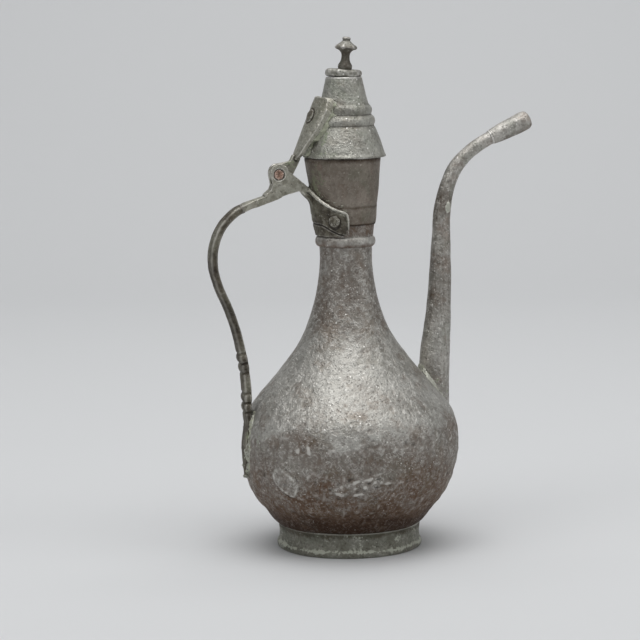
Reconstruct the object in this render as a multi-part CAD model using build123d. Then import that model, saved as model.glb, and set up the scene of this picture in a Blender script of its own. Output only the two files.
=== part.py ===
"""A long-spouted ewer of tinned copper sheet, with a tall lid hinged to the top of its handle."""

from build123d import *
import math
import os

# Every size is in millimetres. +Z is up and the origin is the centre of the foot's underside.
# The handle lies along -X, the spout along +X, and the lid's hinge pin along Y.
# An outline is a list of (radius, height) points, from low to high, that is turned about the Z axis.

SHEET = 1.3  # thickness of the beaten copper sheet

# The body: a rounded bottom, a full belly, a slender neck that flares again inside the collar.
BODY_OUTLINE = [
    (0, 8.0), (30, 9.6), (47.0, 16.5), (55.3, 26.3), (62.0, 34.4), (68.0, 47.5), (71.0, 66.0), (68.3, 86.0),
    (57.8, 101.0), (44.2, 117.0), (29.6, 137.6), (21.4, 158.5), (17.5, 179.4), (16.9, 193.0), (18.2, 207.0),
    (19.5, 221.6),
]
SEAM_HEIGHT = 66.0  # the belly's widest place, where the two halves are brazed

FOOT_RIM = [(44.2, 0.0), (46.5, 0.0), (47.1, 0.6), (47.1, 3.4), (46.3, 4.4)]
FOOT_WAIST = (45.7, 9.0)  # the foot draws in a little between its rim and the bowl
FOOT_TOP = (46.4, 18.0)
FOOT_THICK = 1.6
FOOT_SOLDER = [(44.5, 10.6), (45.5, 17.0), (39.0, 14.5), (41.0, 12.4)]

NECK_RING_HEIGHT = 199.8
NECK_RING_CORE = 17.2
NECK_RING_OUT = 2.1
NECK_RING_HALF = 3.4

COLLAR_OUTLINE = [(19.5, 210.8), (20.5, 221.6), (21.8, 232.0), (22.6, 241.0), (24.25, 255.9)]

# The lid: a skirt with a small outward lip, two beads and an upper cone.
LID_OUTLINE = [(26.9, 254.2), (26.0, 256.0), (19.5, 273.8), (17.0, 281.0), (15.5, 288.6), (11.4, 305.2)]
LID_TOP = LID_OUTLINE[-1][1]
LID_BEADS = [(18.3, 277.0, 1.7, 3.2), (16.2, 284.2, 1.5, 3.1)]  # radius, height, half width, half height
BEZEL_RADIUS = 20.6  # small enough to swing clear of the collar on the hinge's side
BEZEL_WALL = 1.0
BEZEL_LOW = 252.6
BEZEL_HIGH = 268.5

DISC_RADIUS = 11.8
DISC_THICK = 5.0
DISC_ROUND = 2.0
DISC_TOP = LID_TOP + DISC_THICK

FINIAL_OFFSET = 0.8  # the knob stands a little towards the spout and leans that way
FINIAL_LEAN = 4.2
# The knob's outline, from the disc's top up: foot, stem, the edge of its head, the head and the button.
FINIAL_FOOT = [(0, -0.8), (3.6, -0.8), (4.5, 0.9), (4.6, 2.2)]
FINIAL_STEM = [(4.6, 2.2), (3.3, 4.9), (2.6, 8.3), (3.4, 10.9), (7.1, 13.3)]
FINIAL_EDGE = [(7.1, 13.3), (7.15, 14.2)]
FINIAL_HEAD = [(7.15, 14.2), (5.0, 15.7), (3.2, 17.4), (2.2, 18.7)]
FINIAL_BUTTON = [(2.2, 18.7), (2.4, 19.5), (1.5, 20.5), (0, 20.5), (0, -0.8)]
TENON_RADIUS = 2.2
TENON_RISE = 1.5  # the tenon goes this far into the knob
TENON_END = (3.2, 1.2)  # radius and height of its riveted end
ROVE_RADIUS = 5.0
ROVE_THICK = 1.0

# The hinge: one pin through two cheeks of the handle's yoke and the knuckle of the lid's strap.
HINGE_X = -44.5
HINGE_Z = 244.0
PIN_RADIUS = 3.4
PIN_CLEARANCE = 0.06
CLEVIS_WIDTH = 9.3
KNUCKLE_WIDTH = 4.3
KNUCKLE_GAP = 0.2  # on each side of the knuckle
KNUCKLE_RADIUS = 5.5
CHEEK_ROUND = (-44.1, 244.8)
CHEEK_RADIUS = 6.1

# The strap: a plate that stands round the back of the lid, wide at the beads and narrow at the hinge.
STRAP_THICK = 3.0
STRAP_OUTLINE = [(34.3, 253.4), (25.0, 277.5), (18.6, 293.0)]
STRAP_HALF_WIDTHS = [
    (3.0, 252.0), (8.2, 256.5), (10.0, 260.8), (12.2, 265.5), (14.6, 272.0), (15.4, 279.0), (15.2, 284.8),
    (13.6, 290.2), (11.2, 293.5),
]
STRAP_LEG = [
    (-47.8, 248.4), (-44.8, 250.9), (-36.6, 252.4), (-34.6, 256.5), (-29.4, 254.0), (-34.5, 243.9),
    (-41.0, 239.9),
]
STRAP_RIVET_AT = (-23.4, 281.0)  # (x, z) on the strap's outer face
STRAP_RIVET_RISE = 22.5  # the rivet stands square to the strap, in degrees above level
STRAP_RIVET_TURN = 6.5  # degrees off the handle's plane
STRAP_RIVET_RADIUS = 4.15
STRAP_RIVET_HEAD = (-0.8, 1.3)  # its head's faces, from the strap's outer face outwards
STRAP_RIVET_DEPTH = 9.0
STRAP_RIVET_END = (-9.6, -7.6)
SOLDER_BED_HEIGHTS = (264.0, 292.0)
SOLDER_BED_MARGIN = 0.8
SOLDER_OVERLAP = 0.4  # trimmed off again by the strap itself
SOLDER_LUG = [(-24.0, 254.9), (-31.5, 256.5), (-27.5, 266.0), (-21.0, 268.0)]
SOLDER_LUG_HALF = 7.0

# The handle's bar: a crowned section swept along a line of (x, z) points, from the hinge down to the belly.
BAR_LINE = [
    (-44.0, 231.6), (-60.0, 226.0), (-72.5, 220.9), (-82.0, 211.6), (-87.3, 199.0), (-87.9, 186.0),
    (-84.8, 173.5), (-79.1, 160.0), (-74.6, 147.0), (-71.4, 134.0), (-69.0, 120.9), (-67.8, 107.8),
    (-67.5, 98.0), (-68.4, 84.0),
]
BAR_HALF_WIDTH = 6.0
BAR_INNER = 2.4  # from the line to the flat inner face
BAR_SIDE = 2.0  # from the line to where the crown starts
BAR_CROWN = 2.7  # from the line to the top of the crown
SCARF = [(-66.5, 240.0), (-73.0, 205.0), (-20.0, 205.0), (-20.0, 240.0)]  # this end belongs to the yoke
LOBES = [(-69.9, 126.6), (-68.9, 120.4), (-67.6, 100.8), (-67.7, 94.6)]  # two pairs, (x, z)
LOBE_RADIUS = 2.9
LOBE_OUT = 0.5
LOBE_LENGTH = 13.6
LEAF_THICK = 1.9
LEAF_HALF_WIDTHS = [(5.4, 91.0), (6.9, 80.0), (6.2, 67.0), (3.4, 56.0), (0.9, 50.0)]
PAD_THICK = 1.1
PAD_HALF_WIDTH = 11.0
PAD_LOW, PAD_HIGH = 51.0, 90.0

# The yoke: cheeks, the block below them, and the saddle round the back of the collar, seen from the side.
CHEEK_SIDE = [
    (-50.2, 244.0), (-49.0, 237.6), (-50.0, 234.6), (-54.0, 231.4), (-52.0, 227.0), (-38.4, 231.0),
    (-30.1, 233.3), (-25.0, 225.5), (-22.8, 217.5), (-17.0, 217.5), (-17.0, 231.0), (-24.2, 234.4),
    (-29.9, 239.4), (-35.0, 243.8), (-39.8, 247.4), (-44.5, 249.0),
]
SLOT_SIDE = [
    (-60.0, 264.0), (-60.0, 242.5), (-51.8, 241.5), (-49.6, 238.4), (-44.5, 236.6), (-39.5, 237.4),
    (-33.5, 241.3), (-27.0, 246.0), (-27.0, 264.0),
]
SADDLE_OUTLINE = [(19.5, 203.0), (20.5, 207.0), (21.5, 212.0), (22.7, 222.0), (23.7, 231.0), (24.3, 236.0)]
WING_SIDE = [
    (-28.0, 235.0), (-23.6, 232.2), (-18.9, 227.0), (-11.8, 221.8), (-4.2, 219.2), (-4.4, 204.2),
    (-28.0, 203.3),
]
YOKE_RIVET_ANGLE = 56.0  # each side of the handle's plane
YOKE_RIVET_HEIGHT = 213.2
YOKE_RIVET_RADIUS = 3.5
YOKE_SHANK_REACH = (16.0, 22.4)  # its ends' distances from the body's axis
YOKE_HEAD_REACH = (20.5, 23.2)
YOKE_END_REACH = (15.9, 18.0)
SHANK_RADIUS = 1.9
SPREAD = 0.9  # a closed end is this much wider than its shank all round

# The spout: a round tube through stations of (x, z, outer radius), then a thicker sleeve on its tip.
SPOUT_STATIONS = [
    (58.6, 84.0, 10.1), (58.8, 106.0, 10.0), (59.6, 124.0, 9.7), (61.4, 141.0, 8.8), (62.8, 160.0, 7.7),
    (63.8, 180.0, 7.0), (64.4, 200.0, 6.0), (65.3, 217.0, 5.5), (69.0, 233.0, 5.0), (75.6, 246.0, 4.7),
    (85.5, 255.6, 4.4), (97.0, 262.6, 4.3), (107.0, 267.1, 4.3),
]
SPOUT_WALL = 1.1
NOZZLE_START = (98.6, 263.4)
NOZZLE_RISE = 24.0  # degrees above level
NOZZLE_OUTLINE = [(4.7, 0.0), (5.2, 3.0), (6.0, 14.0), (6.3, 23.0)]
NOZZLE_LENGTH = 28.6
NOZZLE_NOSE = (6.0, 26.8)
NOZZLE_LIP = 4.7
MOUTH_RADIUS = 3.6
SPOUT_SOLDER_OUT = 1.8
SPOUT_SOLDER_THICK = 2.2
SPOUT_SOLDER_STATIONS = 5  # the band only needs the tube's root

CUT_LENGTH = 200.0


def smooth_side(points):
    """A smooth line through the points of an outline, in the XZ plane."""
    return Spline(*[(radius, 0, height) for radius, height in points])


def straight_side(points):
    """Straight lines through the points of an outline, in the XZ plane."""
    return Polyline(*[(radius, 0, height) for radius, height in points])


def inset(points, depth):
    """The same outline moved inwards by depth, square to itself at each point."""
    moved = []
    for before, here, after in zip(points[:1] + points[:-1], points, points[1:] + points[-1:]):
        run, rise = after[0] - before[0], after[1] - before[1]
        length = math.hypot(run, rise)
        moved.append((max(here[0] - depth * rise / length, 0), here[1] + depth * run / length))
    return moved


def filled(points, line=smooth_side):
    """The solid between an outline and the vertical axis."""
    side = line(points)
    low, high = side @ 0, side @ 1
    corners = [high, (0, 0, high.Z), (0, 0, low.Z)]
    if low.X > 0:
        corners.append(low)
    return revolve(make_face([side, Polyline(*corners)]), Axis.Z)


def sheet(points, thickness=SHEET, line=smooth_side):
    """A sheet of even thickness whose outer face is the turned outline."""
    outer, inner = line(points), line(inset(points, thickness))
    ends = [Line(outer @ 0, inner @ 0), Line(outer @ 1, inner @ 1)]
    return revolve(make_face([outer, inner, *ends]), Axis.Z)


def bead(radius, height, half_width, half_height):
    """A rounded ring about the vertical axis."""
    return revolve(Plane.XZ * Pos(radius, height) * Ellipse(half_width, half_height), Axis.Z)


def side_prism(points, half_width):
    """A closed outline of (x, z) points, made solid across the width of the handle."""
    face = make_face(Polyline(*[(x, 0, z) for x, z in points], close=True))
    return extrude(face, amount=half_width, dir=(0, 1, 0), both=True)


def back_prism(half_widths):
    """A symmetric outline of (half width, height) points seen from the handle's side, cut towards -X."""
    near = [(0, -half, height) for half, height in half_widths]
    far = [(0, half, height) for half, height in reversed(half_widths)]
    return extrude(make_face(Polyline(*near, *far, close=True)), amount=CUT_LENGTH, dir=(-1, 0, 0))


def across(x, z, radius, length):
    """A cylinder along Y."""
    return Pos(x, 0, z) * Rot(90, 0, 0) * Cylinder(radius, length)


def radial(angle, height, inner, outer, radius):
    """A cylinder along a radius of the body, at an angle from +X about the vertical axis."""
    rod = Pos((inner + outer) / 2, 0, height) * Rot(0, 90, 0) * Cylinder(radius, outer - inner)
    return Rot(0, 0, angle) * rod


def spout_loft(change, stations=SPOUT_STATIONS):
    """The spout's round tube as a solid rod, its radius changed by one amount all along."""
    last = len(stations) - 1
    circles = []
    for i, (x, z, radius) in enumerate(stations):
        before, after = stations[max(i - 1, 0)], stations[min(i + 1, last)]
        along = (after[0] - before[0], 0, after[1] - before[1])
        circles.append(Plane(origin=(x, 0, z), x_dir=(0, 1, 0), z_dir=along) * Circle(radius + change))
    return loft(circles)


def foot_ring(body):
    """A low turned ring with a thicker lower rim, cut to the bowl that it carries."""
    rim = straight_side(FOOT_RIM)
    waist, top = (FOOT_WAIST[0], 0, FOOT_WAIST[1]), (FOOT_TOP[0], 0, FOOT_TOP[1])
    flank = ThreePointArc(rim @ 1, waist, top)
    inside = Polyline(top, (top[0] - FOOT_THICK, 0, top[2]), rim @ 0)
    return revolve(make_face([rim, flank, inside]), Axis.Z) - body


def foot_solder_seam(body, foot):
    """A fillet of solder in the corner under the bowl."""
    corners = [(radius, 0, height) for radius, height in FOOT_SOLDER]
    return revolve(make_face(Polyline(*corners, close=True)), Axis.Z) - body - foot


def lid_cone():
    """Skirt, beads and cone, closed by a small flat top with the tenon's hole."""
    top = Pos(0, 0, LID_TOP - SHEET / 2) * Cylinder(LID_OUTLINE[-1][0] - 0.6, SHEET)
    cone = sheet(LID_OUTLINE, line=straight_side) + top
    for ring in LID_BEADS:
        cone += bead(*ring)
    return cone - tenon()


def tenon():
    """The finial's shank through the disc and the lid's top, down to its riveted end."""
    low, high = LID_TOP - SHEET - ROVE_THICK, DISC_TOP + TENON_RISE
    return Pos(FINIAL_OFFSET, 0, (low + high) / 2) * Cylinder(TENON_RADIUS, high - low)


def lid_bezel(lid):
    """A short tube inside the lid that drops into the mouth."""
    height = BEZEL_HIGH - BEZEL_LOW
    middle = Pos(0, 0, (BEZEL_LOW + BEZEL_HIGH) / 2)
    tube = middle * (Cylinder(BEZEL_RADIUS, height) - Cylinder(BEZEL_RADIUS - BEZEL_WALL, height))
    return (tube - lid) & filled(LID_OUTLINE, straight_side)


def lid_top_disc():
    """A cushion-shaped disc on the lid's flat top."""
    disc = Pos(0, 0, LID_TOP + DISC_THICK / 2) * Cylinder(DISC_RADIUS, DISC_THICK)
    return fillet(disc.edges().filter_by(GeomType.CIRCLE), DISC_ROUND) - tenon()


def finial(disc):
    """A turned knob: flared foot, waist, head and button, with its tenon riveted under the lid."""
    outline = [straight_side(FINIAL_FOOT), smooth_side(FINIAL_STEM), straight_side(FINIAL_EDGE)]
    outline += [smooth_side(FINIAL_HEAD), straight_side(FINIAL_BUTTON)]
    knob = revolve(make_face(outline), Axis.Z)
    leaning = Pos(FINIAL_OFFSET, 0, DISC_TOP) * Rot(0, FINIAL_LEAN, 0) * knob
    radius, height = TENON_END
    riveted = Pos(FINIAL_OFFSET, 0, LID_TOP - SHEET - ROVE_THICK - height / 2) * Cylinder(radius, height)
    return leaning - disc + tenon() + riveted


def finial_rove():
    """The washer under the lid's top."""
    washer = Pos(FINIAL_OFFSET, 0, LID_TOP - SHEET - ROVE_THICK / 2) * Cylinder(ROVE_RADIUS, ROVE_THICK)
    return washer - tenon()


def hinge_strap():
    """The plate round the back of the lid, its leg and the knuckle on the pin."""
    plate = sheet(STRAP_OUTLINE, STRAP_THICK) & back_prism(STRAP_HALF_WIDTHS)
    leg = side_prism(STRAP_LEG, KNUCKLE_WIDTH / 2) + across(HINGE_X, HINGE_Z, KNUCKLE_RADIUS, KNUCKLE_WIDTH)
    strap = plate + leg
    return strap - across(HINGE_X, HINGE_Z, PIN_RADIUS + PIN_CLEARANCE, 2 * CLEVIS_WIDTH)


def strap_rod(reach, radius):
    """A cylinder square to the strap at its rivet, between two distances from the strap's outer face."""
    x, z = STRAP_RIVET_AT
    inner, outer = reach
    square = Rot(0, 0, STRAP_RIVET_TURN) * Pos(x, 0, z) * Rot(0, STRAP_RIVET_RISE - 90, 0)
    return square * Pos(0, 0, (inner + outer) / 2) * Cylinder(radius, outer - inner)


def strap_rivet(lid, strap):
    """A large flat-headed rivet through the strap and its bed into the lid: its shank, and its two ends."""
    shank = strap_rod((-STRAP_RIVET_DEPTH, STRAP_RIVET_HEAD[1] / 2), SHANK_RADIUS)
    head = strap_rod(STRAP_RIVET_HEAD, STRAP_RIVET_RADIUS)
    closed = strap_rod(STRAP_RIVET_END, SHANK_RADIUS + SPREAD)
    return shank, (head - strap) + (closed - lid)


def strap_solder(lid, strap):
    """The bed of solder between the strap and the lid, with a lump at the skirt."""
    low, high = SOLDER_BED_HEIGHTS
    inner_face = filled(inset(STRAP_OUTLINE, STRAP_THICK - SOLDER_OVERLAP))
    level = [(half, height) for half, height in STRAP_HALF_WIDTHS if low < height < high]
    bed = inner_face & back_prism([(half - SOLDER_BED_MARGIN, height) for half, height in level])
    lug = side_prism(SOLDER_LUG, SOLDER_LUG_HALF)
    return (bed + (lug & inner_face)) - filled(LID_OUTLINE, straight_side) - lid - strap


def bar_solid():
    """The whole bar of the handle, before it is parted at the scarf."""
    line = Spline(*[(x, 0, z) for x, z in BAR_LINE])
    across_start = Plane(origin=line @ 0, x_dir=(0, 1, 0), z_dir=line % 0)
    edge = BAR_HALF_WIDTH
    sides = Polyline((-edge, -BAR_SIDE), (-edge, BAR_INNER), (edge, BAR_INNER), (edge, -BAR_SIDE))
    crown = ThreePointArc((-edge, -BAR_SIDE), (0, -BAR_CROWN), (edge, -BAR_SIDE))
    return sweep(across_start * make_face([sides, crown]), path=line)


def handle_bar(body, bar):
    """The lower bar with its lobes, and the leaf that lies on the belly."""
    lower = bar - side_prism(SCARF, CUT_LENGTH)
    for x, z in LOBES:
        lobe = across(x - LOBE_OUT, z, LOBE_RADIUS, LOBE_LENGTH)
        lower += fillet(lobe.edges().filter_by(GeomType.CIRCLE), LOBE_RADIUS / 2)
    leaf = filled(inset(BODY_OUTLINE, -LEAF_THICK)) & back_prism(LEAF_HALF_WIDTHS)
    return lower + leaf - body


def handle_solder_pad(body, handle):
    """Solder on the belly beside the leaf."""
    middle = Pos(0, 0, (PAD_LOW + PAD_HIGH) / 2)
    patch = Plane.YZ * Ellipse(PAD_HALF_WIDTH, (PAD_HIGH - PAD_LOW) / 2)
    column = extrude(middle * patch, amount=CUT_LENGTH, dir=(-1, 0, 0))
    return (filled(inset(BODY_OUTLINE, -PAD_THICK)) & column) - body - handle


def handle_yoke(body, collar, bar):
    """The handle's upper end: bar, hinge cheeks with their slot, and the saddle with its two wings."""
    cheeks = side_prism(CHEEK_SIDE, CLEVIS_WIDTH / 2) + across(*CHEEK_ROUND, CHEEK_RADIUS, CLEVIS_WIDTH)
    saddle = filled(SADDLE_OUTLINE) & side_prism(WING_SIDE, CUT_LENGTH)
    upper = bar & side_prism(SCARF, CUT_LENGTH)
    yoke = cheeks + saddle + upper - body - filled(COLLAR_OUTLINE)
    yoke -= side_prism(SLOT_SIDE, KNUCKLE_WIDTH / 2 + KNUCKLE_GAP)
    return yoke - across(HINGE_X, HINGE_Z, PIN_RADIUS, 2 * CLEVIS_WIDTH)


def yoke_rivet(angle, yoke, neck):
    """One rivet through a wing, the collar and the neck tube: its shank, and its two heads."""
    shank = radial(angle, YOKE_RIVET_HEIGHT, *YOKE_SHANK_REACH, SHANK_RADIUS)
    head = radial(angle, YOKE_RIVET_HEIGHT, *YOKE_HEAD_REACH, YOKE_RIVET_RADIUS)
    closed = radial(angle, YOKE_RIVET_HEIGHT, *YOKE_END_REACH, SHANK_RADIUS + SPREAD)
    return shank, (head - yoke) + (closed - neck)


def spout_nozzle(tube):
    """The sleeve on the spout's tip, with a rounded lip and the pouring mouth."""
    flank = smooth_side(NOZZLE_OUTLINE)
    tip = (NOZZLE_LIP, 0, NOZZLE_LENGTH)
    nose = ThreePointArc(flank @ 1, (NOZZLE_NOSE[0], 0, NOZZLE_NOSE[1]), tip)
    rest = Polyline(tip, (0, 0, NOZZLE_LENGTH), (0, 0, 0), flank @ 0)
    sleeve = revolve(make_face([flank, nose, rest]), Axis.Z)
    sleeve -= Pos(0, 0, NOZZLE_LENGTH / 2) * Cylinder(MOUTH_RADIUS, 2 * NOZZLE_LENGTH)
    x, z = NOZZLE_START
    return Pos(x, 0, z) * Rot(0, 90 - NOZZLE_RISE, 0) * sleeve - tube


def pieces():
    """Every piece of the ewer under its own name."""
    body = filled(BODY_OUTLINE)
    body_sheet = sheet(BODY_OUTLINE)
    seam = Plane.XY.offset(SEAM_HEIGHT)
    spout_rod, spout_bore = spout_loft(0), spout_loft(-SPOUT_WALL)
    collar = sheet(COLLAR_OUTLINE)
    neck = split(body_sheet, bisect_by=seam, keep=Keep.TOP) - spout_bore - collar
    foot = foot_ring(body)

    bar = bar_solid()
    yoke = handle_yoke(body, collar, bar)
    rivets = []
    for angle in (180 - YOKE_RIVET_ANGLE, 180 + YOKE_RIVET_ANGLE):
        shank, heads = yoke_rivet(angle, yoke, neck)
        rivets.append(shank + heads)
        yoke, collar, neck = yoke - shank, collar - shank, neck - shank
    handle = handle_bar(body, bar)

    lid = lid_cone()
    strap = hinge_strap()
    disc = lid_top_disc()
    shank, ends = strap_rivet(lid, strap)
    solder = strap_solder(lid, strap) - shank
    rivet = shank + ends
    lid, strap = lid - shank, strap - shank

    root = spout_loft(SPOUT_SOLDER_OUT, SPOUT_STATIONS[:SPOUT_SOLDER_STATIONS])
    return {
        "belly_bowl": split(body_sheet, bisect_by=seam, keep=Keep.BOTTOM),
        "shoulder_neck": neck,
        "foot_ring": foot,
        "foot_solder_seam": foot_solder_seam(body, foot),
        "neck_ring": bead(NECK_RING_CORE, NECK_RING_HEIGHT, NECK_RING_OUT, NECK_RING_HALF) - body,
        "mouth_collar": collar,
        "spout_tube": spout_rod - spout_bore - body,
        "spout_nozzle": spout_nozzle(spout_rod),
        "spout_solder_seam": (root & filled(inset(BODY_OUTLINE, -SPOUT_SOLDER_THICK))) - body - spout_rod,
        "handle_bar": handle,
        "handle_solder_pad": handle_solder_pad(body, handle),
        "handle_yoke": yoke,
        "yoke_rivets": Compound(children=[Solid(piece.solid().wrapped) for piece in rivets]),
        "hinge_pin": across(HINGE_X, HINGE_Z, PIN_RADIUS, CLEVIS_WIDTH + 0.3),
        "lid_cone": lid,
        "lid_bezel": lid_bezel(lid),
        "lid_top_disc": disc,
        "finial": finial(disc),
        "finial_rove": finial_rove(),
        "hinge_strap": strap,
        "strap_rivet": rivet,
        "strap_solder": solder,
    }


os.makedirs("parts", exist_ok=True)
for name, piece in pieces().items():
    export_step(piece, f"parts/{name}.step")
    print(name, len(piece.solids()), round(piece.volume))
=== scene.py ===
"""A long-spouted ewer of tinned copper with a tall hinged lid, old and knocked about, in a plain studio."""

import math

import bmesh
import bpy
import numpy as np
from mathutils import Matrix, Vector, noise


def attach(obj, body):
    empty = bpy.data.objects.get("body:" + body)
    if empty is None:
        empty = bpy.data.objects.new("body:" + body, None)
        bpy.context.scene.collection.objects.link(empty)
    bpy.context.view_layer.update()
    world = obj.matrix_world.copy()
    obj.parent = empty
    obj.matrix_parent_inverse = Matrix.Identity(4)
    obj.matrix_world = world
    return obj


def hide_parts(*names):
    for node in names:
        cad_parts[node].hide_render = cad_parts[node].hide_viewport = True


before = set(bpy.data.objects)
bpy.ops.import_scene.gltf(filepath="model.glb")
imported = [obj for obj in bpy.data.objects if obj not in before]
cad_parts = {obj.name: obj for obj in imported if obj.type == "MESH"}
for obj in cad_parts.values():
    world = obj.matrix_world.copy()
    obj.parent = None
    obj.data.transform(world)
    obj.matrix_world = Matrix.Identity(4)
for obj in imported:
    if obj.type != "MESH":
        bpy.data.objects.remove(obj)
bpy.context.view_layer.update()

# Sizes are in millimetres until a mesh is made. +Z is up, the spout lies along +X and the handle along -X.
# An angle is in degrees about +Z from the spout, so the camera's side of the body is near -105.
# An outline is a list of (radius, height) points from low to high.
MM = 0.001
FULL_TURN = 2 * math.pi
ON_AXIS = 1e-6  # a smaller radius counts as none

BODY_OUTLINE = [
    (0, 8.0), (30, 9.6), (47.0, 16.5), (55.3, 26.3), (62.0, 34.4), (68.0, 47.5), (71.0, 66.0), (68.3, 86.0),
    (57.8, 101.0), (44.2, 117.0), (29.6, 137.6), (21.4, 158.5), (17.5, 179.4), (16.9, 193.0), (18.2, 207.0),
    (19.5, 221.6),
]
SEAM_HEIGHT = 66.0
SHEET = 1.3  # thickness of the beaten sheet
BODY_STEPS = 400  # points round the body, about 1.1 mm apart on the belly
BODY_ROW = 1.1
HAMMER_MARK = 8.0

FOOT_OUTSIDE = [(44.3, 0.0), (46.2, 0.0), (46.95, 0.7), (47.15, 2.0), (46.9, 3.6), (46.1, 4.6), (45.7, 6.4),
                (45.6, 9.5), (46.0, 13.0), (46.4, 16.0)]
FOOT_INSIDE = [(45.0, 16.4), (44.2, 9.5), (44.0, 0.6)]
COLLAR_OUTLINE = [(19.05, 210.7), (19.5, 212.0), (20.5, 221.6), (21.8, 232.0), (22.6, 241.0), (24.1, 255.3)]
COLLAR_EDGE = 210.9  # its lower edge, lapped over the neck
LAP_HEIGHT = 222.5  # a faint step where the collar was let in
COLLAR_LEAN = 0.018  # it leans this much towards the handle, from the height below
COLLAR_LEAN_START = 210.0
LID_SKIRT = [(26.3, 254.15), (26.85, 254.3), (26.8, 254.9), (25.9, 256.6)]
LID_WAVES = [(25.9, 256.6), (20.1, 272.6), (19.15, 274.2), (19.6, 275.4), (20.0, 277.0), (19.5, 278.7),
             (18.2, 280.2), (17.3, 281.0), (17.5, 282.2), (17.8, 284.0), (17.4, 285.8), (16.3, 287.2),
             (15.6, 288.3), (11.5, 305.0)]
LID_TOP = [(10.6, 305.3), (0.0, 305.3)]
LID_INSIDE = [(0.0, 303.9), (10.3, 303.9), (14.3, 288.2), (16.0, 280.5), (18.2, 273.6), (24.7, 256.4),
              (25.6, 254.3)]
LID_GROOVES = [(280.9, 1.2), (273.8, 1.1), (288.2, 1.1)]  # height and width of those beside the beads
DISC_OUTLINE = [(0.0, -2.3), (7.0, -2.35), (10.0, -2.3), (11.3, -1.6), (11.85, 0.0), (11.3, 1.6),
                (9.9, 2.35), (8.2, 2.2), (6.0, 2.0), (0.0, 2.1)]
DISC_AT = (-0.2, 307.7)  # x and z
DISC_LEAN = math.radians(4.0)
KNOB_OUTLINE = [(0.0, -0.4), (3.8, -0.4), (4.3, 0.1), (4.6, 1.3), (4.4, 2.6), (3.2, 4.9), (2.6, 8.0),
                (3.0, 10.2), (4.6, 12.0), (6.9, 13.1), (7.25, 13.8), (6.6, 14.7), (4.9, 15.9), (3.3, 17.2),
                (2.3, 18.4), (2.6, 18.9), (2.55, 19.9), (1.9, 20.4), (0.0, 20.5)]
KNOB_AT = (0.8, 310.1)  # x and z
KNOB_LEAN = math.radians(4.2)
KNOB_FACES = 6  # its head was filed to six faint sides
TENON_OUTLINE = [(0.0, 302.1), (2.6, 302.1), (3.1, 302.7), (2.2, 303.3), (2.2, 311.0), (0.0, 311.0)]
NECK_RING_RADIUS, NECK_RING_HEIGHT = 17.3, 199.8
NECK_RING_LEAN, NECK_RING_SHIFT = 0.012, 0.4  # lower at the spout's side, and off centre to the handle's

HINGE = (-44.5, 244.0)  # the pin's x and z
PIN_RADIUS = 3.4
CLEVIS_HALF = 4.65  # half the width over both cheeks
PIN_RINGS = [  # depth through the cheeks and radius
    (0.5, 1.1), (0.45, 2.2), (0.5, 3.0), (0.85, 3.3), (4.6, 3.35), (8.45, 3.3), (8.8, 3.0), (8.85, 2.2),
    (8.8, 1.1),
]
PIN_SUNK = 0.45  # how far the middle of its ends lies below the cheeks
YOKE_RIVET = (-12.4, 18.4, 213.0)  # and its fellow on the camera's side
YOKE_RIVET_TURN = 56.0  # degrees from -X to each side
YOKE_RIVET_TILT = 0.05  # it faces this much upwards
YOKE_RIVET_HEADS = [(21.9, 1, 3.6), (23.1, 1, 1.7), (17.4, -1, 2.8)]  # off the axis, facing and radius
STRAP_RIVET = (-23.4, -2.7, 281.0)
STRAP_RIVET_SEAT = 23.4  # from the lid's axis
STRAP_RIVET_TURN, STRAP_RIVET_RISE = math.radians(186.5), math.radians(22.5)
STRAP_RIVET_HEADS = [(0.05, 1, 4.35), (-9.1, -1, 3.0)]  # outwards from the seat, facing and radius

# The bar's middle line, down to where its end lies on the belly and follows it.
BAR_LINE = [
    (-68.4, 222.9), (-72.5, 220.9), (-82.0, 211.6), (-87.3, 199.0), (-87.9, 186.0), (-84.8, 173.5),
    (-79.1, 160.0), (-74.6, 147.0), (-71.4, 134.0), (-69.0, 120.9), (-67.8, 107.8), (-67.3, 98.0),
    (-67.6, 90.0),
]
LEAF_HEIGHTS = (83.0, 76.0, 69.0, 62.0, 55.0, 49.5)
LEAF_DENT = 2.3  # the belly is pressed in this far behind the leaf
LEAF_SOLDER_HEIGHTS = (48.0, 92.0)
LEAF_SOLDER_ROWS, LEAF_SOLDER_POINTS = 90, 18
LEAF_SOLDER_UNDER = 1.8  # it starts this far under the leaf's edge
# By height: half the bar's width, and how far it reaches to the outside and the inside of its middle line.
BAR_HALF_WIDTHS = [
    (230, 6.0), (132, 5.9), (112, 6.5), (92, 5.6), (80, 6.9), (67, 6.2), (56, 3.8), (49, 1.2),
]
BAR_OUTSIDES = [(230, 2.0), (95, 2.0), (84, 1.1), (60, 0.8), (49, 0.3)]
BAR_INSIDES = [(230, 2.35), (100, 2.35), (86, 1.4), (49, 1.2)]
BAR_CROWN = 0.75
LOBE_HEIGHTS = (126.6, 120.4, 100.8, 94.6)
LOBE_WIDTH = 2.0
NOTCH_HEIGHTS = (129.9, 123.5, 117.2, 104.0, 97.7, 91.4)
NOTCH_HALF = 1.3

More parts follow.
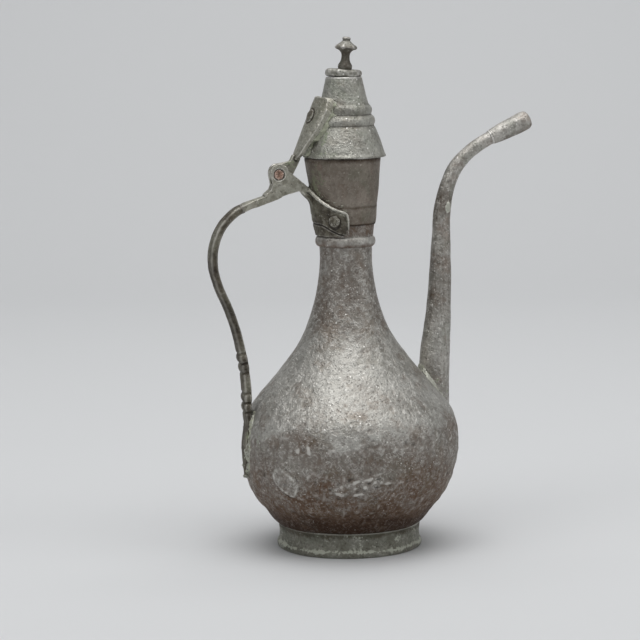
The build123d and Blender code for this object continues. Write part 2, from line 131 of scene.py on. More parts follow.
WING_EDGE = [
    (-4.0, 234.2, 25.2), (10.0, 232.8, 24.8), (20.0, 230.6, 24.4), (34.0, 227.0, 23.8), (46.0, 224.2, 23.4),
    (58.0, 221.7, 23.0), (70.0, 220.2, 22.7), (76.5, 219.0, 22.5), (79.5, 216.0, 22.2), (80.3, 211.0, 21.9),
    (79.5, 206.0, 21.6),
]  # degrees from -X, height and radius of the thick upper edge of each wing
WING_END = 84  # degrees from -X
WING_ROPE, WING_ROPE_TAPER = 1.75, 1.25  # the edge's thickness as a radius, and what it loses to its tip
FAR_OFF = 99.0  # for places that the wings don't reach
WING_CRACK = [(0, 211.6), (30, 211.2), (45, 208.6), (62, 205.4), (80, 203.6)]  # degrees from -X and height
WING_CRACK_TOP = 214
SADDLE_HEIGHT, SADDLE_RADIUS, SADDLE_FLARE = 220.0, 22.5, 0.1
CHEEK_TAPER = (-70, -58)  # along X, where the bar's end narrows to the cheeks
RIB_HALF = 5.5  # half the width of the rib at the back of the saddle
RIB_HEIGHTS = (222, 231)  # below these it sinks into the saddle
FORGED_VOXEL, SOLDER_VOXEL = 0.42, 0.5

SPOUT_LINE = [
    (58.6, 84.0, 10.1), (58.8, 106.0, 10.0), (59.6, 124.0, 9.7), (61.4, 141.0, 8.8), (62.8, 160.0, 7.7),
    (63.8, 180.0, 7.0), (64.4, 200.0, 6.0), (65.3, 217.0, 5.5), (69.0, 233.0, 5.0), (75.6, 246.0, 4.7),
    (85.5, 255.6, 4.4), (97.0, 262.6, 4.3), (107.0, 267.1, 4.3),
]
SPOUT_WALL = 1.1
SPOUT_STEPS = 64
SPOUT_ROW = 1.3
ROOT_DEPTH = 0.8  # its root starts this far under the belly's skin
ROOT_STEP = 0.25  # of a row, in the search for the spout's root
MEND = (219.6, -1.1)  # height and turn round the tube of a blob of solder on the spout
MEND_HALF = (3.0, 0.5)  # its reach in rows along the tube and in turn round it
MEND_RINGS = [(0.15, 0.85), (0.4, 0.75), (0.65, 0.55), (0.85, 0.3), (1.0, -0.1), (0.7, -0.5)]  # reach, rise
NOZZLE_START = (98.6, 263.4)
NOZZLE_RISE = math.radians(24.0)
NOZZLE_OUTLINE = [(4.5, -0.4), (4.75, 0.3), (5.2, 3.0), (6.0, 14.0), (6.3, 22.0), (6.25, 25.4), (5.6, 27.6),
                  (4.7, 28.5), (4.0, 28.5), (3.62, 27.8)]
NOZZLE_BORE = [(3.6, 27.0), (3.6, 9.3), (4.4, 9.0), (4.4, -0.2)]

# The body's knocks and repairs, each by its angle and height.
SWELL_TURN, SWELL = -15.0, 0.75  # the body swells to one side
PATCH = (-140.6, 51.6)  # a tear-shaped patch
PATCH_HALF = (9.6, 9.2)
RUMPLE = (-102.0, 50.5)
RUMPLE_HALF = (19.0, 5.5)
PATCH_TAIL = [(-137.6, 43.6), (-133.0, 42.9), (-129.6, 40.6)]
CREASES = [
    [(-114.5, 47.4), (-109.6, 51.4), (-103.3, 53.3), (-99.1, 56.5), (-93.9, 55.6)],
    [(-97.0, 50.5), (-91.0, 54.0), (-85.7, 52.9), (-75.8, 52.5)],
    [(-114.5, 47.4), (-105.0, 44.6), (-98.5, 46.5)],
    [(-131.9, 76.0), (-131.9, 71.8)], [(-125.9, 76.4), (-125.3, 72.4)], [(-98.8, 72.8), (-96.6, 70.8)],
]
DENTS = [  # angle, height, size and depth
    (-95.0, 62.0, 9.0, 1.0), (-120.0, 34.0, 11.0, 0.5), (-60.0, 58.0, 13.0, 0.9), (-128.0, 66.0, 9.0, 0.7),
    (35.0, 52.0, 16.0, 1.0), (70.0, 78.0, 12.0, 0.7), (110.0, 45.0, 13.0, 0.9), (150.0, 98.0, 11.0, 0.6),
    (-30.0, 104.0, 12.0, 0.5), (-82.0, 84.0, 10.0, 0.6),
]
TIDE_LINE = [
    (-180, 82), (-152, 80), (-144, 86), (-132, 88), (-122, 86), (-114, 82), (-109, 78), (-101, 77),
    (-96, 82), (-80, 85), (-66, 87), (-23, 88), (20, 83), (65, 87), (110, 80), (150, 86), (180, 82),
]
BELLY_RADIUS = 69.0

SHEET_SHARP, FORGED_SHARP = 55, 80  # degrees from which a corner stays sharp
WELD = 0.002  # points nearer than this become one
SMOOTHINGS = 4
CALM_BAND = 3.0
CRUMB_DENSITY = 4.0e5  # for each square metre
CRUMB_SMALLEST = 0.2


# Small helpers for shapes

def lumps(point, size, seed=0.0):
    """Smooth noise from -1 to 1 with lumps about as large as size."""
    return noise.noise((point[0] / size + seed, point[1] / size + seed, point[2] / size))


def eased(value, start, end):
    """0 before start and 1 after end, with a smooth rise between them."""
    part = min(1.0, max(0.0, (value - start) / (end - start)))
    return part * part * (3 - 2 * part)


def bell(distance, width):
    """1 at no distance, and falling smoothly to nothing at about twice the width."""
    return math.exp(-(distance / width) ** 2)


def on_circle(radius, turn, height=0.0):
    """The point at a radius and a turn about +Z."""
    return radius * math.cos(turn), radius * math.sin(turn), height


def turns_round(count):
    """Equal turns round a circle."""
    return [FULL_TURN * i / count for i in range(count)]


def from_handle(angle):
    """Degrees between an angle and the handle's side."""
    return 180 - abs(angle)


def table_value(table, place):
    """The value of a table of (place, value) rows at a place."""
    rows = sorted(table)
    return float(np.interp(place, [row[0] for row in rows], [row[1] for row in rows]))


def smooth_line(points, step):
    """Points about a step apart on a rounded line through the given ones."""
    points = [np.array(point, float) for point in points]
    before = [2 * points[0] - points[1], *points[:-1]]
    after = [*points[2:], 2 * points[-1] - points[-2]]
    line = []
    for p0, p1, p2, p3 in zip(before, points, points[1:], after):
        t1 = np.linalg.norm(p1 - p0) ** 0.5
        t2 = t1 + np.linalg.norm(p2 - p1) ** 0.5
        t3 = t2 + np.linalg.norm(p3 - p2) ** 0.5
        steps = max(1, round(float(np.linalg.norm(p2 - p1)) / step))
        for k in range(steps):
            t = t1 + (t2 - t1) * k / steps
            a1 = (t1 - t) / t1 * p0 + t / t1 * p1
            a2 = (t2 - t) / (t2 - t1) * p1 + (t - t1) / (t2 - t1) * p2
            a3 = (t3 - t) / (t3 - t2) * p2 + (t - t2) / (t3 - t2) * p3
            b1 = (t2 - t) / t2 * a1 + t / t2 * a2
            b2 = (t3 - t) / (t3 - t1) * a2 + (t - t1) / (t3 - t1) * a3
            line.append((t2 - t) / (t2 - t1) * b1 + (t - t1) / (t2 - t1) * b2)
    line.append(points[-1])
    return line


def straight_line(points, step):
    """Points about a step apart on straight lines through the given ones."""
    line = []
    for start, end in zip(points, points[1:]):
        start, end = np.array(start, float), np.array(end, float)
        steps = max(1, round(float(np.linalg.norm(end - start)) / step))
        line += [start + (end - start) * k / steps for k in range(steps)]
    return [*line, np.array(points[-1], float)]


def with_normals(line, side=1):
    """The (radius, height) points of an outline with the direction to their right, or left for -1."""
    line = np.array(line)
    run = np.gradient(line, axis=0)
    run *= side / np.maximum(np.linalg.norm(run, axis=1), 1e-9)[:, None]
    return [(r, z, dz, -dr) for (r, z), (dr, dz) in zip(line, run)]


def new_piece(name, mesh):
    """An object for a mesh, linked to the scene."""
    piece = bpy.data.objects.new(name, mesh)
    bpy.context.scene.collection.objects.link(piece)
    return piece


def applied(piece):
    """The mesh that a piece's modifiers make of it. The modifiers are then removed."""
    bpy.context.view_layer.update()
    mesh = bpy.data.meshes.new_from_object(piece.evaluated_get(bpy.context.evaluated_depsgraph_get()))
    piece.modifiers.clear()
    return mesh


def opened(mesh):
    """A form of a mesh for bmesh to work on."""
    form = bmesh.new()
    form.from_mesh(mesh)
    return form


def tidy_mesh(form, mesh, sharp=SHEET_SHARP):
    """Writes a closed form back to a mesh, its faces outwards and its sharp corners left sharp."""
    bmesh.ops.recalc_face_normals(form, faces=form.faces)
    form.to_mesh(mesh)
    form.free()
    mesh.shade_smooth()
    mesh.set_sharp_from_angle(angle=math.radians(sharp))


def skin(name, rings, looped=False, start=None, end=None):
    """A closed mesh through rings of equally many points, with a single point for its start and its end."""
    count, last = len(rings[0]), len(rings) - 1
    points = [point for ring in rings for point in ring]
    pairs = [(k, k + 1) for k in range(last)] + ([(last, 0)] if looped else [])
    faces = []
    for low, high in pairs:
        for i in range(count):
            j = (i + 1) % count
            faces.append((low * count + i, low * count + j, high * count + j, high * count + i))
    if start is not None:
        points.append(start)
        faces += [(len(points) - 1, (i + 1) % count, i) for i in range(count)]
    if end is not None:
        points.append(end)
        faces += [(last * count + i, last * count + (i + 1) % count, len(points) - 1) for i in range(count)]
    mesh = bpy.data.meshes.new(name)
    mesh.from_pydata([Vector(point) * MM for point in points], [], faces)
    tidy_mesh(opened(mesh), mesh)
    return new_piece(name, mesh)


def turned(name, samples, steps, lift=None, place=Matrix.Identity(4)):
    """A mesh turned about the Z axis from (radius, height, out, up) samples, each moved out by lift."""
    poles, rings = {}, []
    for index, (radius, height, out, up) in enumerate(samples):
        ring = []
        for turn in turns_round(steps if radius > ON_AXIS else 1):
            offset = lift(turn, radius, height) if lift else 0.0
            reach = radius + offset * out if radius > ON_AXIS else 0.0
            ring.append(place @ Vector(on_circle(reach, turn, height + offset * up)))
        if len(ring) == 1:
            poles["end" if index else "start"] = ring[0]
        else:
            rings.append(ring)
    return skin(name, rings, not poles, **poles)


def fused(name, pieces):
    """Several pieces as one mesh."""
    form = bmesh.new()
    for part in pieces:
        form.from_mesh(part.data)
        bpy.data.objects.remove(part)
    mesh = bpy.data.meshes.new(name)
    tidy_mesh(form, mesh)
    return new_piece(name, mesh)


def coordinates(mesh, field="co"):
    """The places of a mesh's points, or their normals, as an array."""
    values = np.zeros(len(mesh.vertices) * 3)
    mesh.vertices.foreach_get(field, values)
    return values.reshape(-1, 3)


def store(mesh, name, values):
    """Keeps one number for each point of a mesh, for a material or a geometry tree to read."""
    attribute = mesh.attributes.get(name) or mesh.attributes.new(name, "FLOAT", "POINT")
    attribute.data.foreach_set("value", np.array(values, np.float32))


def weather(piece, tone, crust=None, passes=3, calm=None, gain=4):
    """Stores each point's tone and crust by rules of (angle, x, y, z), and how proud or hollow it lies.

    Rubbing brightens what is proud, which also paints a highlight on ridges, and dirt with painted shade
    fills what is hollow, but not near a calm height.
    """
    mesh = piece.data
    points, normals = coordinates(mesh), coordinates(mesh, "normal")
    edges = np.zeros(len(mesh.edges) * 2, int)
    mesh.edges.foreach_get("vertices", edges)
    a, b = edges.reshape(-1, 2).T
    count = np.maximum(np.bincount(a, minlength=len(points)) + np.bincount(b, minlength=len(points)), 1)

    def around(values):
        return (np.bincount(a, values[b], len(points)) + np.bincount(b, values[a], len(points))) / count

    middle = np.stack([around(points[:, k]) for k in range(3)], 1)
    reach = np.mean(np.linalg.norm(points[a] - points[b], axis=1))
    proud = ((points - middle) * normals).sum(1) / reach
    for _ in range(passes):
        proud = (proud + around(proud)) / 2
    if calm:
        proud *= np.clip((np.abs(points[:, 2] / MM - calm) - CALM_BAND) / CALM_BAND, 0, 1)
    store(mesh, "wear_and_relief_shading", np.clip(proud * gain, -1, 1))
    places = [(math.degrees(math.atan2(y, x)), x, y, z) for x, y, z in points / MM]
    store(mesh, "tone", [tone(*place) for place in places])
    if crust:
        store(mesh, "crust", [crust(*place) for place in places])
    return piece


def worn_solid(name, node, voxel, relief, extra=()):
    """A node's own shape with its corners rubbed round and its faces made uneven.

    The relief rule gives mm inwards for a point and its normal. Extra meshes are fused into it.
    """
    mesh = bpy.data.meshes.new(name)
    form = opened(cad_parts[node].data)
    for other in extra:
        form.from_mesh(other.data)
        bpy.data.objects.remove(other)
    bmesh.ops.remove_doubles(form, verts=form.verts, dist=WELD * MM)
    form.to_mesh(mesh)
    form.free()
    piece = new_piece(name, mesh)
    remesh = piece.modifiers.new("voxels", "REMESH")
    remesh.mode = "VOXEL"
    remesh.voxel_size = voxel * MM
    solid = applied(piece)
    form = opened(solid)
    for _ in range(SMOOTHINGS):
        bmesh.ops.smooth_vert(form, verts=form.verts, factor=0.5,
                              use_axis_x=True, use_axis_y=True, use_axis_z=True)
    form.normal_update()
    moves = [vert.normal * (-relief(vert.co / MM, vert.normal) * MM) for vert in form.verts]
    for vert, move in zip(form.verts, moves):
        vert.co += move
    tidy_mesh(form, solid, FORGED_SHARP)
    solid.name = name
    piece.data = solid
    return piece


# Finishes

def colour(code):
    """An sRGB hex colour as linear red, green, blue and alpha."""
    parts = [int(code[i:i + 2], 16) / 255 for i in (1, 3, 5)]
    return [p / 12.92 if p <= 0.04045 else ((p + 0.055) / 1.055) ** 2.4 for p in parts] + [1.0]


def per_mm(size):
    """The scale of a texture whose features are about this many mm across."""
    return 1 / (size * MM)


def add(tree, kind, inputs=None, out=0, **settings):
    """Adds one node with its settings, fills or links its inputs, and returns one of its outputs."""
    made = tree.nodes.new(kind)
    for name, value in settings.items():
        setattr(made, name, value)
    for key, value in (inputs or {}).items():
        if isinstance(value, bpy.types.NodeSocket):
            tree.links.new(value, made.inputs[key])
        else:
            made.inputs[key].default_value = value
    return made.outputs[out] if made.outputs else made


# The kinds of node that the finishes use most, and their usual settings.
NOISE, RANGE = "ShaderNodeTexNoise", "ShaderNodeMapRange"
MATHS, MIX = "ShaderNodeMath", "ShaderNodeMix"
SMOOTHLY = {"interpolation_type": "SMOOTHSTEP"}
COLOURS = {"out": 2, "data_type": "RGBA"}


def aged_metal(name, tones, bare, bare_share=0.0, bloom="#70766a", bloom_share=0.35, crust="#8f977f",
               fleck="#e4e2dd", metallic=0.85, roughness=0.52, pits=1.0, flecks=1.0, strokes=1.0,
               swirls=0.15):
    """Old sheet or cast metal: tin or dull alloy, mottled, pitted and scratched, dark in its hollows with
    dirt and painted shade.

    tones are four colours from clean to sooty; a point's tone number picks between them, and some pieces
    paint shade and highlights into that number.
    """
    material = bpy.data.materials.new(name)
    material.use_nodes = True
    tree = material.node_tree
    tree.nodes.clear()
    place = add(tree, "ShaderNodeTexCoord", out="Object")
    tone, wear_and_relief_shading, crusted = [add(tree, "ShaderNodeAttribute", out="Fac", attribute_name=attribute)
                           for attribute in ("tone", "wear_and_relief_shading", "crust")]
    cloud, mottle, grain, speck = [
        add(tree, NOISE, {"Vector": place, "Scale": per_mm(size), "Detail": detail, "Roughness": rough})
        for size, detail, rough in ((26, 4, 0.6), (5.2, 4, 0.6), (1.5, 1, 0.5), (2.6, 3, 0.65))]

    # Short strokes of a stiff brush: stretched noise in three directions, broken up by the mottling.
    stroke = None
    for turn in ((0.5, 0.9, 0.3), (1.3, -0.4, 1.9), (-0.7, 0.2, 0.9)):
        slanted = add(tree, "ShaderNodeMapping", {"Vector": place, "Rotation": turn, "Scale": (1, 0.2, 1)})
        line = add(tree, NOISE, {"Vector": slanted, "Scale": per_mm(1.8), "Detail": 1, "Roughness": 0.6})
        line = add(tree, RANGE, {"Value": line, "From Min": 0.6, "From Max": 0.7}, **SMOOTHLY)
        stroke = add(tree, MATHS, {0: stroke, 1: line}, operation="MAXIMUM") if stroke else line
    broken = add(tree, RANGE, {"Value": speck, "From Min": 0.4, "From Max": 0.62}, **SMOOTHLY)
    stroke = add(tree, MATHS, {0: stroke, 1: broken}, operation="MULTIPLY")

    # Swirls are the contour lines of bent noise.
    swirl = add(tree, NOISE, {"Vector": place, "Scale": per_mm(5.0), "Detail": 1, "Roughness": 0.4,
                              "Distortion": 1.4})
    swirl = add(tree, MATHS, {0: swirl, 1: 0.5}, operation="SUBTRACT")
    swirl = add(tree, MATHS, {0: swirl}, operation="ABSOLUTE")
    swirl = add(tree, RANGE, {"Value": swirl, "From Min": 0.06, "From Max": 0.01, "To Max": swirls},
                **SMOOTHLY)
    patchy = add(tree, RANGE, {"Value": mottle, "From Min": 0.4, "From Max": 0.6}, **SMOOTHLY)
    swirl = add(tree, MATHS, {0: swirl, 1: patchy}, operation="MULTIPLY")

    # Pits a mm across and bright knocks of many sizes, each round the middle of its own cell.
    pit = add(tree, "ShaderNodeTexVoronoi", {"Vector": place, "Scale": per_mm(2.4)})
    pit = add(tree, RANGE, {"Value": pit, "From Min": 0.36, "From Max": 0.14}, **SMOOTHLY)
    knock = add(tree, "ShaderNodeTexVoronoi", {"Vector": place, "Scale": per_mm(3.1)})
    size = add(tree, "ShaderNodeSeparateColor", {"Color": knock.node.outputs["Color"]})
    size = add(tree, RANGE, {"Value": size, "From Min": 0.55, "From Max": 1.0, "To Max": 0.2 * flecks},
               **SMOOTHLY)
    knock = add(tree, MATHS, {0: size, 1: knock}, operation="SUBTRACT")
    knock = add(tree, RANGE, {"Value": knock, "From Min": 0.0, "From Max": 0.05}, **SMOOTHLY)

    # The tone number with a ragged edge picks the ground colour.
    ragged = add(tree, MATHS, {0: cloud, 1: 0.6, 2: -0.3}, operation="MULTIPLY_ADD")
    ragged = add(tree, MATHS, {0: ragged, 1: tone}, operation="ADD")
    for layer, much, shift in ((mottle, -0.42, 0.21), (speck, -0.3, 0.15)):
        layer = add(tree, MATHS, {0: layer, 1: much, 2: shift}, operation="MULTIPLY_ADD")
        ragged = add(tree, MATHS, {0: ragged, 1: layer}, operation="ADD")
    ground = add(tree, "ShaderNodeValToRGB", {"Fac": ragged}, out="Color")
    ramp = ground.node.color_ramp
    ramp.elements[1].position = 1.0
    for position in (0.33, 0.66):
        ramp.elements.new(position)
    for element, code in zip(ramp.elements, tones):
        element.color = colour(code)
    bared = add(tree, NOISE, {"Vector": place, "Scale": per_mm(15), "Detail": 5, "Roughness": 0.6})
    bared = add(tree, RANGE, {"Value": bared, "From Min": 0.52, "From Max": 0.66, "To Max": bare_share},
                **SMOOTHLY)
    ground = add(tree, MIX, {0: bared, 6: ground, 7: colour(bare)}, **COLOURS)
    blooming = add(tree, NOISE, {"Vector": place, "Scale": per_mm(19), "Detail": 4, "Roughness": 0.6,
                                 "Distortion": 0.5})
    blooming = add(tree, RANGE, {"Value": blooming, "From Min": 0.5, "From Max": 0.68,
                                 "To Max": bloom_share}, **SMOOTHLY)
    unsooted_unshaded = add(tree, RANGE, {"Value": tone, "From Min": 0.5, "From Max": 1.0, "To Min": 1.0,
                                 "To Max": 0.15}, **SMOOTHLY)
    blooming = add(tree, MATHS, {0: blooming, 1: unsooted_unshaded}, operation="MULTIPLY")
    ground = add(tree, MIX, {0: blooming, 6: ground, 7: colour(bloom)}, **COLOURS)

    # Strokes, swirls, knocks, worn edges and a few freckles are fresher metal, and the proud edges also
    # carry a painted highlight; less of it under soot and painted shade.
    freckle = add(tree, RANGE, {"Value": grain, "From Min": 0.66, "From Max": 0.78}, **SMOOTHLY)
    gathered = add(tree, RANGE, {"Value": cloud, "From Min": 0.4, "From Max": 0.62, "To Min": 0.3,
                                 "To Max": 0.9}, **SMOOTHLY)
    freckle = add(tree, MATHS, {0: freckle, 1: gathered}, operation="MULTIPLY")
    fresh = add(tree, MATHS, {0: stroke, 1: 0.28 * strokes}, operation="MULTIPLY")
    knocked = add(tree, MATHS, {0: knock, 1: 0.95}, operation="MULTIPLY")
    # Proud places are worn bright, and this also paints a highlight along ridges and creases.
    rubbed = add(tree, RANGE, {"Value": wear_and_relief_shading, "From Min": 0.1, "From Max": 0.6, "To Max": 0.75}, **SMOOTHLY)
    for layer in (swirl, freckle, knocked, rubbed):
        fresh = add(tree, MATHS, {0: fresh, 1: layer}, operation="MAXIMUM")
    unsooted_unshaded = add(tree, RANGE, {"Value": tone, "From Min": 0.1, "From Max": 0.9, "To Min": 1.0,
                                 "To Max": 0.3}, **SMOOTHLY)
    fresh = add(tree, MATHS, {0: fresh, 1: unsooted_unshaded}, operation="MULTIPLY")
    skin_colour = add(tree, MIX, {0: fresh, 6: ground, 7: colour(fleck)}, **COLOURS)

    # Dirt lies in the pits and in specks; the hollows beside beads, rivets and laps get dirt and painted
    # shade.
    dirt_and_hollow_shade = add(tree, RANGE, {"Value": wear_and_relief_shading, "From Min": -0.08, "From Max": -0.5, "To Max": 0.85},
                **SMOOTHLY)
    pitted = add(tree, MATHS, {0: pit, 1: 0.28 * pits}, operation="MULTIPLY")
    specked = add(tree, RANGE, {"Value": speck, "From Min": 0.36, "From Max": 0.24, "To Max": 0.5},
                  **SMOOTHLY)
    for layer in (pitted, specked):
        dirt_and_hollow_shade = add(tree, MATHS, {0: dirt_and_hollow_shade, 1: layer}, operation="MAXIMUM")
    skin_colour = add(tree, MIX, {0: dirt_and_hollow_shade, 6: skin_colour, 7: colour("#2b251f")}, **COLOURS)

    # Pale green crust breaks up along its edge.
    crumbly = add(tree, MATHS, {0: mottle, 1: 1.6, 2: -0.8}, operation="MULTIPLY_ADD")
    crumbly = add(tree, MATHS, {0: crumbly, 1: crusted}, operation="ADD")
    grit = add(tree, MATHS, {0: grain, 1: 1.0, 2: -0.5}, operation="MULTIPLY_ADD")
    crumbly = add(tree, MATHS, {0: crumbly, 1: grit}, operation="ADD")
    crumbly = add(tree, RANGE, {"Value": crumbly, "From Min": 0.45, "From Max": 0.75, "To Max": 0.85},
                  **SMOOTHLY)
    skin_colour = add(tree, MIX, {0: crumbly, 6: skin_colour, 7: colour(crust)}, **COLOURS)

    # Soot, dirt, painted shade and crust are dull and don't conduct; knocks and worn edges shine.
    dull = add(tree, MATHS, {0: dirt_and_hollow_shade, 1: crumbly}, operation="MAXIMUM")
    sooty = add(tree, MATHS, {0: tone, 1: 0.55}, operation="MULTIPLY")
    dull = add(tree, MATHS, {0: dull, 1: sooty}, operation="MAXIMUM")
    metal = add(tree, RANGE, {"Value": dull, "From Min": 0.0, "From Max": 1.0, "To Min": metallic,
                              "To Max": 0.15}, **SMOOTHLY)
    rough = add(tree, MATHS, {0: mottle, 1: 0.3, 2: roughness - 0.15}, operation="MULTIPLY_ADD")
    for layer, more in ((dull, 0.28), (fresh, -0.14)):
        rough = add(tree, MATHS, {0: layer, 1: more, 2: rough}, operation="MULTIPLY_ADD")

    # Relief in mm: soft mottling, fine grain, specks, pits that sink, and strokes, swirls and crust on top.
    height = add(tree, MATHS, {0: mottle, 1: 0.85}, operation="MULTIPLY")
    for layer, depth in ((grain, 0.05), (speck, 0.2), (pit, -0.12 * pits), (stroke, 0.12), (swirl, 0.16),
                         (crumbly, 0.15)):
        height = add(tree, MATHS, {0: layer, 1: depth, 2: height}, operation="MULTIPLY_ADD")
    relief = add(tree, "ShaderNodeBump", {"Height": height, "Strength": 1.0, "Distance": MM})
    surface = add(tree, "ShaderNodeBsdfPrincipled", {"Base Color": skin_colour, "Metallic": metal,
                                                     "Roughness": rough, "Normal": relief})
    add(tree, "ShaderNodeOutputMaterial", {"Surface": surface})
    return material


# Hand-wiped tin over beaten copper: grey and mottled, with bright knocks, and brown towards the fire, where
# its tone also carries painted shade.
TINNED_BODY = aged_metal("wiped_tin_on_copper", ["#b1afa9", "#87817a", "#644f3f", "#3a220d"],
                         bare="#746251", bare_share=0.4, bloom="#716d62", strokes=1.3, swirls=0.36)
# The lid has kept more of its tin, and it is smoother.
TINNED_LID = aged_metal("wiped_tin_lid", ["#adaca4", "#8c8a82", "#68635a", "#41382d"], bare="#7f6f5d",
                        bare_share=0.2, bloom="#777d6e", bloom_share=0.45, flecks=1.2, strokes=0.6)
# The collar is bare, brown and dull.
COLLAR_METAL = aged_metal("browned_copper_collar", ["#8d857b", "#736a60", "#584c41", "#35291f"],
                          bare="#74594b", bare_share=0.25, bloom="#686b5c", crust="#70745d",
                          fleck="#b9b2a9", flecks=0.6, pits=0.5, strokes=0.5)
# The foot stood in the wet: green-grey, crusted white and green along its rim.
FOOT_METAL = aged_metal("verdigris_foot", ["#8e8e84", "#6d6b5f", "#504b3e", "#302b20"], bare="#635646",
                        crust="#bdbfb1", fleck="#c4c3ba", metallic=0.65, flecks=0.6)
# Cast bronze of the handle, hinge and strap: olive-grey, dark in its pores, and worn bright along its
# edges, where a painted highlight also lies.
CAST_BRONZE = aged_metal("cast_bronze", ["#a5a397", "#817e71", "#585247", "#312b23"], bare="#6d614f",
                         bare_share=0.2, bloom="#70715e", crust="#8c9378", fleck="#d8d5cd",
                         metallic=0.8, flecks=0.6, strokes=0.9)
# Drawn tube of the spout: grey tin with brown showing along it.
SPOUT_METAL = aged_metal("wiped_tin_spout", ["#b7b4ae", "#918d86", "#685e54", "#3c3026"], bare="#7c6758",
                         bare_share=0.35, strokes=1.5)
# Soft solder: pale, lumpy and powdery, a little green.
SOFT_SOLDER = aged_metal("soft_solder", ["#aeaea3", "#908f82", "#6a685b", "#464235"], bare="#7f7f69",
                         crust="#abae98", fleck="#d2d3c8", metallic=0.5, roughness=0.58, pits=1.3,
                         strokes=0.2)
# Bare copper of the pin and rivets, pink where it is hammered.
RIVET_COPPER = aged_metal("hammered_copper", ["#ab8c7c", "#8d7263", "#655045", "#382b23"], bare="#996d58",
                          fleck="#e2cabd", roughness=0.45, strokes=0.3)


# The body

def body_radius(height):
    """The outer radius of the body at a height above its bottom."""
    return float(np.interp(height, [z for _, z in BODY_OUTLINE[1:]], [r for r, _ in BODY_OUTLINE[1:]]))


def across_belly(angle, height, spot):
    """From a spot to a place on the belly: mm to the side and mm up."""
    turn = (angle - spot[0] + 180) % 360 - 180
    return math.radians(turn) * BELLY_RADIUS, height - spot[1]


def off_line(angle, height, line):
    """The distance in mm on the belly from a place to a line of (angle, height) points."""
    least = 1e9
    for start, end in zip(line, line[1:]):
        ax, az = across_belly(angle, height, start)
        bx, bz = across_belly(end[0], end[1], start)
        part = max(0.0, min(1.0, (ax * bx + az * bz) / (bx * bx + bz * bz)))
        least = min(least, math.hypot(ax - part * bx, az - part * bz))
    return least


def patch_depth(angle, height):
    """0 outside the tear-shaped patch, rising to 1 well inside it."""
    side, up = across_belly(angle, height, PATCH)
    taper = 1.0 - 0.35 * eased(-up, 0.0, PATCH_HALF[1])
    reach = math.hypot((side + 0.4 * up) / (PATCH_HALF[0] * taper), up / PATCH_HALF[1])
    return eased(1.08 - reach, 0.0, 0.22)


def rumple(angle, height):
    """0 outside the crumpled field on the belly's front, 1 in its middle."""
    side, up = across_belly(angle, height, RUMPLE)
    return eased(1.2 - math.hypot(side / RUMPLE_HALF[0], (up - 0.15 * side) / RUMPLE_HALF[1]), 0.0, 0.6)


def leaf_dent(angle, height):
    """How far the belly is pressed in behind the handle's leaf."""
    side = math.radians(from_handle(angle)) * body_radius(height)
    return LEAF_DENT * bell(side, 17) * eased(height, 45, 66) * (1 - eased(height, 84, 100))


def beaten(turn, radius, height):
    """How far the body's sheet stands out at a place: hammer marks, knocks, creases and a patch, in mm."""
    angle = math.degrees(turn)
    angle = angle - 360 if angle > 180 else angle
    point = on_circle(radius, turn, height)
    size = eased(radius, 8.0, 50.0)
    towards = math.cos(math.radians(angle - SWELL_TURN))
    swell = SWELL * eased(height, 30, 60) * (1 - eased(height, 120, 150)) * towards
    flats = noise.voronoi([value / HAMMER_MARK for value in point])[0]
    ridge = min(1.0, (flats[1] - flats[0]) * 2.0)
    waves = 0.5 * lumps(point, 38, 3) + 0.3 * lumps(point, 15, 7)
    out = swell + size * waves + 0.15 * lumps(point, 6, 11)
    out -= (0.08 + 0.14 * size) * ridge
    rough = eased(height, 20, 34) * (1 - eased(height, 72, 92))
    out += rough * (0.6 * lumps(point, 8, 13) + 0.34 * lumps(point, 4.0, 17))
    if radius > 40 and height < 110:
        for *spot, width, depth in DENTS:
            out -= depth * bell(math.hypot(*across_belly(angle, height, spot)), width * 0.6)
        out -= leaf_dent(angle, height)
    if -160 < angle < -60 and 34 < height < 80:
        inside = patch_depth(angle, height)
        out += 0.6 * inside + 0.3 * bell(off_line(angle, height, PATCH_TAIL), 1.5)
        ragged = max(0.0, 0.5 + lumps(point, 5, 21))
        out += 0.6 * ragged * max(bell(off_line(angle, height, line), 1.4) for line in CREASES)
        out += rumple(angle, height) * (0.35 + 0.8 * lumps(point, 5.0, 31) + 0.3 * lumps(point, 2.6, 33))
    return out


def body_tone(angle, x, y, z):
    """How brown and sooty the body is: clean shoulders, a tide line at the belly, a lower belly and bottom
    darkened by soot and painted shade, and a painted highlight round the patch's rim.
    """
    point = (x, y, z)
    tide = table_value(TIDE_LINE, angle) + 2.5 * lumps(point, 9, 41)
    tone = 0.02 + 0.26 * (1 - eased(z, tide - 7, tide)) + 0.1 * (1 - eased(z, 60, 112))
    # Darker towards the bottom: soot, and painted shade of the downward-facing lower belly.
    tone += 0.2 * (1 - eased(z, 34, 66)) + 0.5 * (1 - eased(z, 16, 36))
    tone += 0.28 * eased(z, 122, 170) + 0.2 * eased(z, 202, 205) + 0.12 * lumps(point, 22, 51)
    if 36 < z < 80 and -160 < angle < -60:
        inside = patch_depth(angle, z)
        # The patch's inside takes its own brown, and a painted highlight runs round its rim.
        tone += (0.22 - tone) * 0.9 * max(inside, 0.5 * rumple(angle, z)) - 0.5 * inside * (1 - inside)
    return tone


def body_crust(angle, x, y, z):
    """A green bloom runs down the belly from the handle's foot."""
    streaky = 0.75 + 0.4 * lumps((x, y, z / 5), 3.0, 53)
    return 0.42 * streaky * bell(from_handle(angle) - 16, 13) * bell(z - 74, 20)


def inner_face(samples):
    """The samples of a sheet's inner face, from those of its outer face."""
    return [(r - SHEET * out if r else 0.0, z - SHEET * up, out, up) for r, z, out, up in samples]


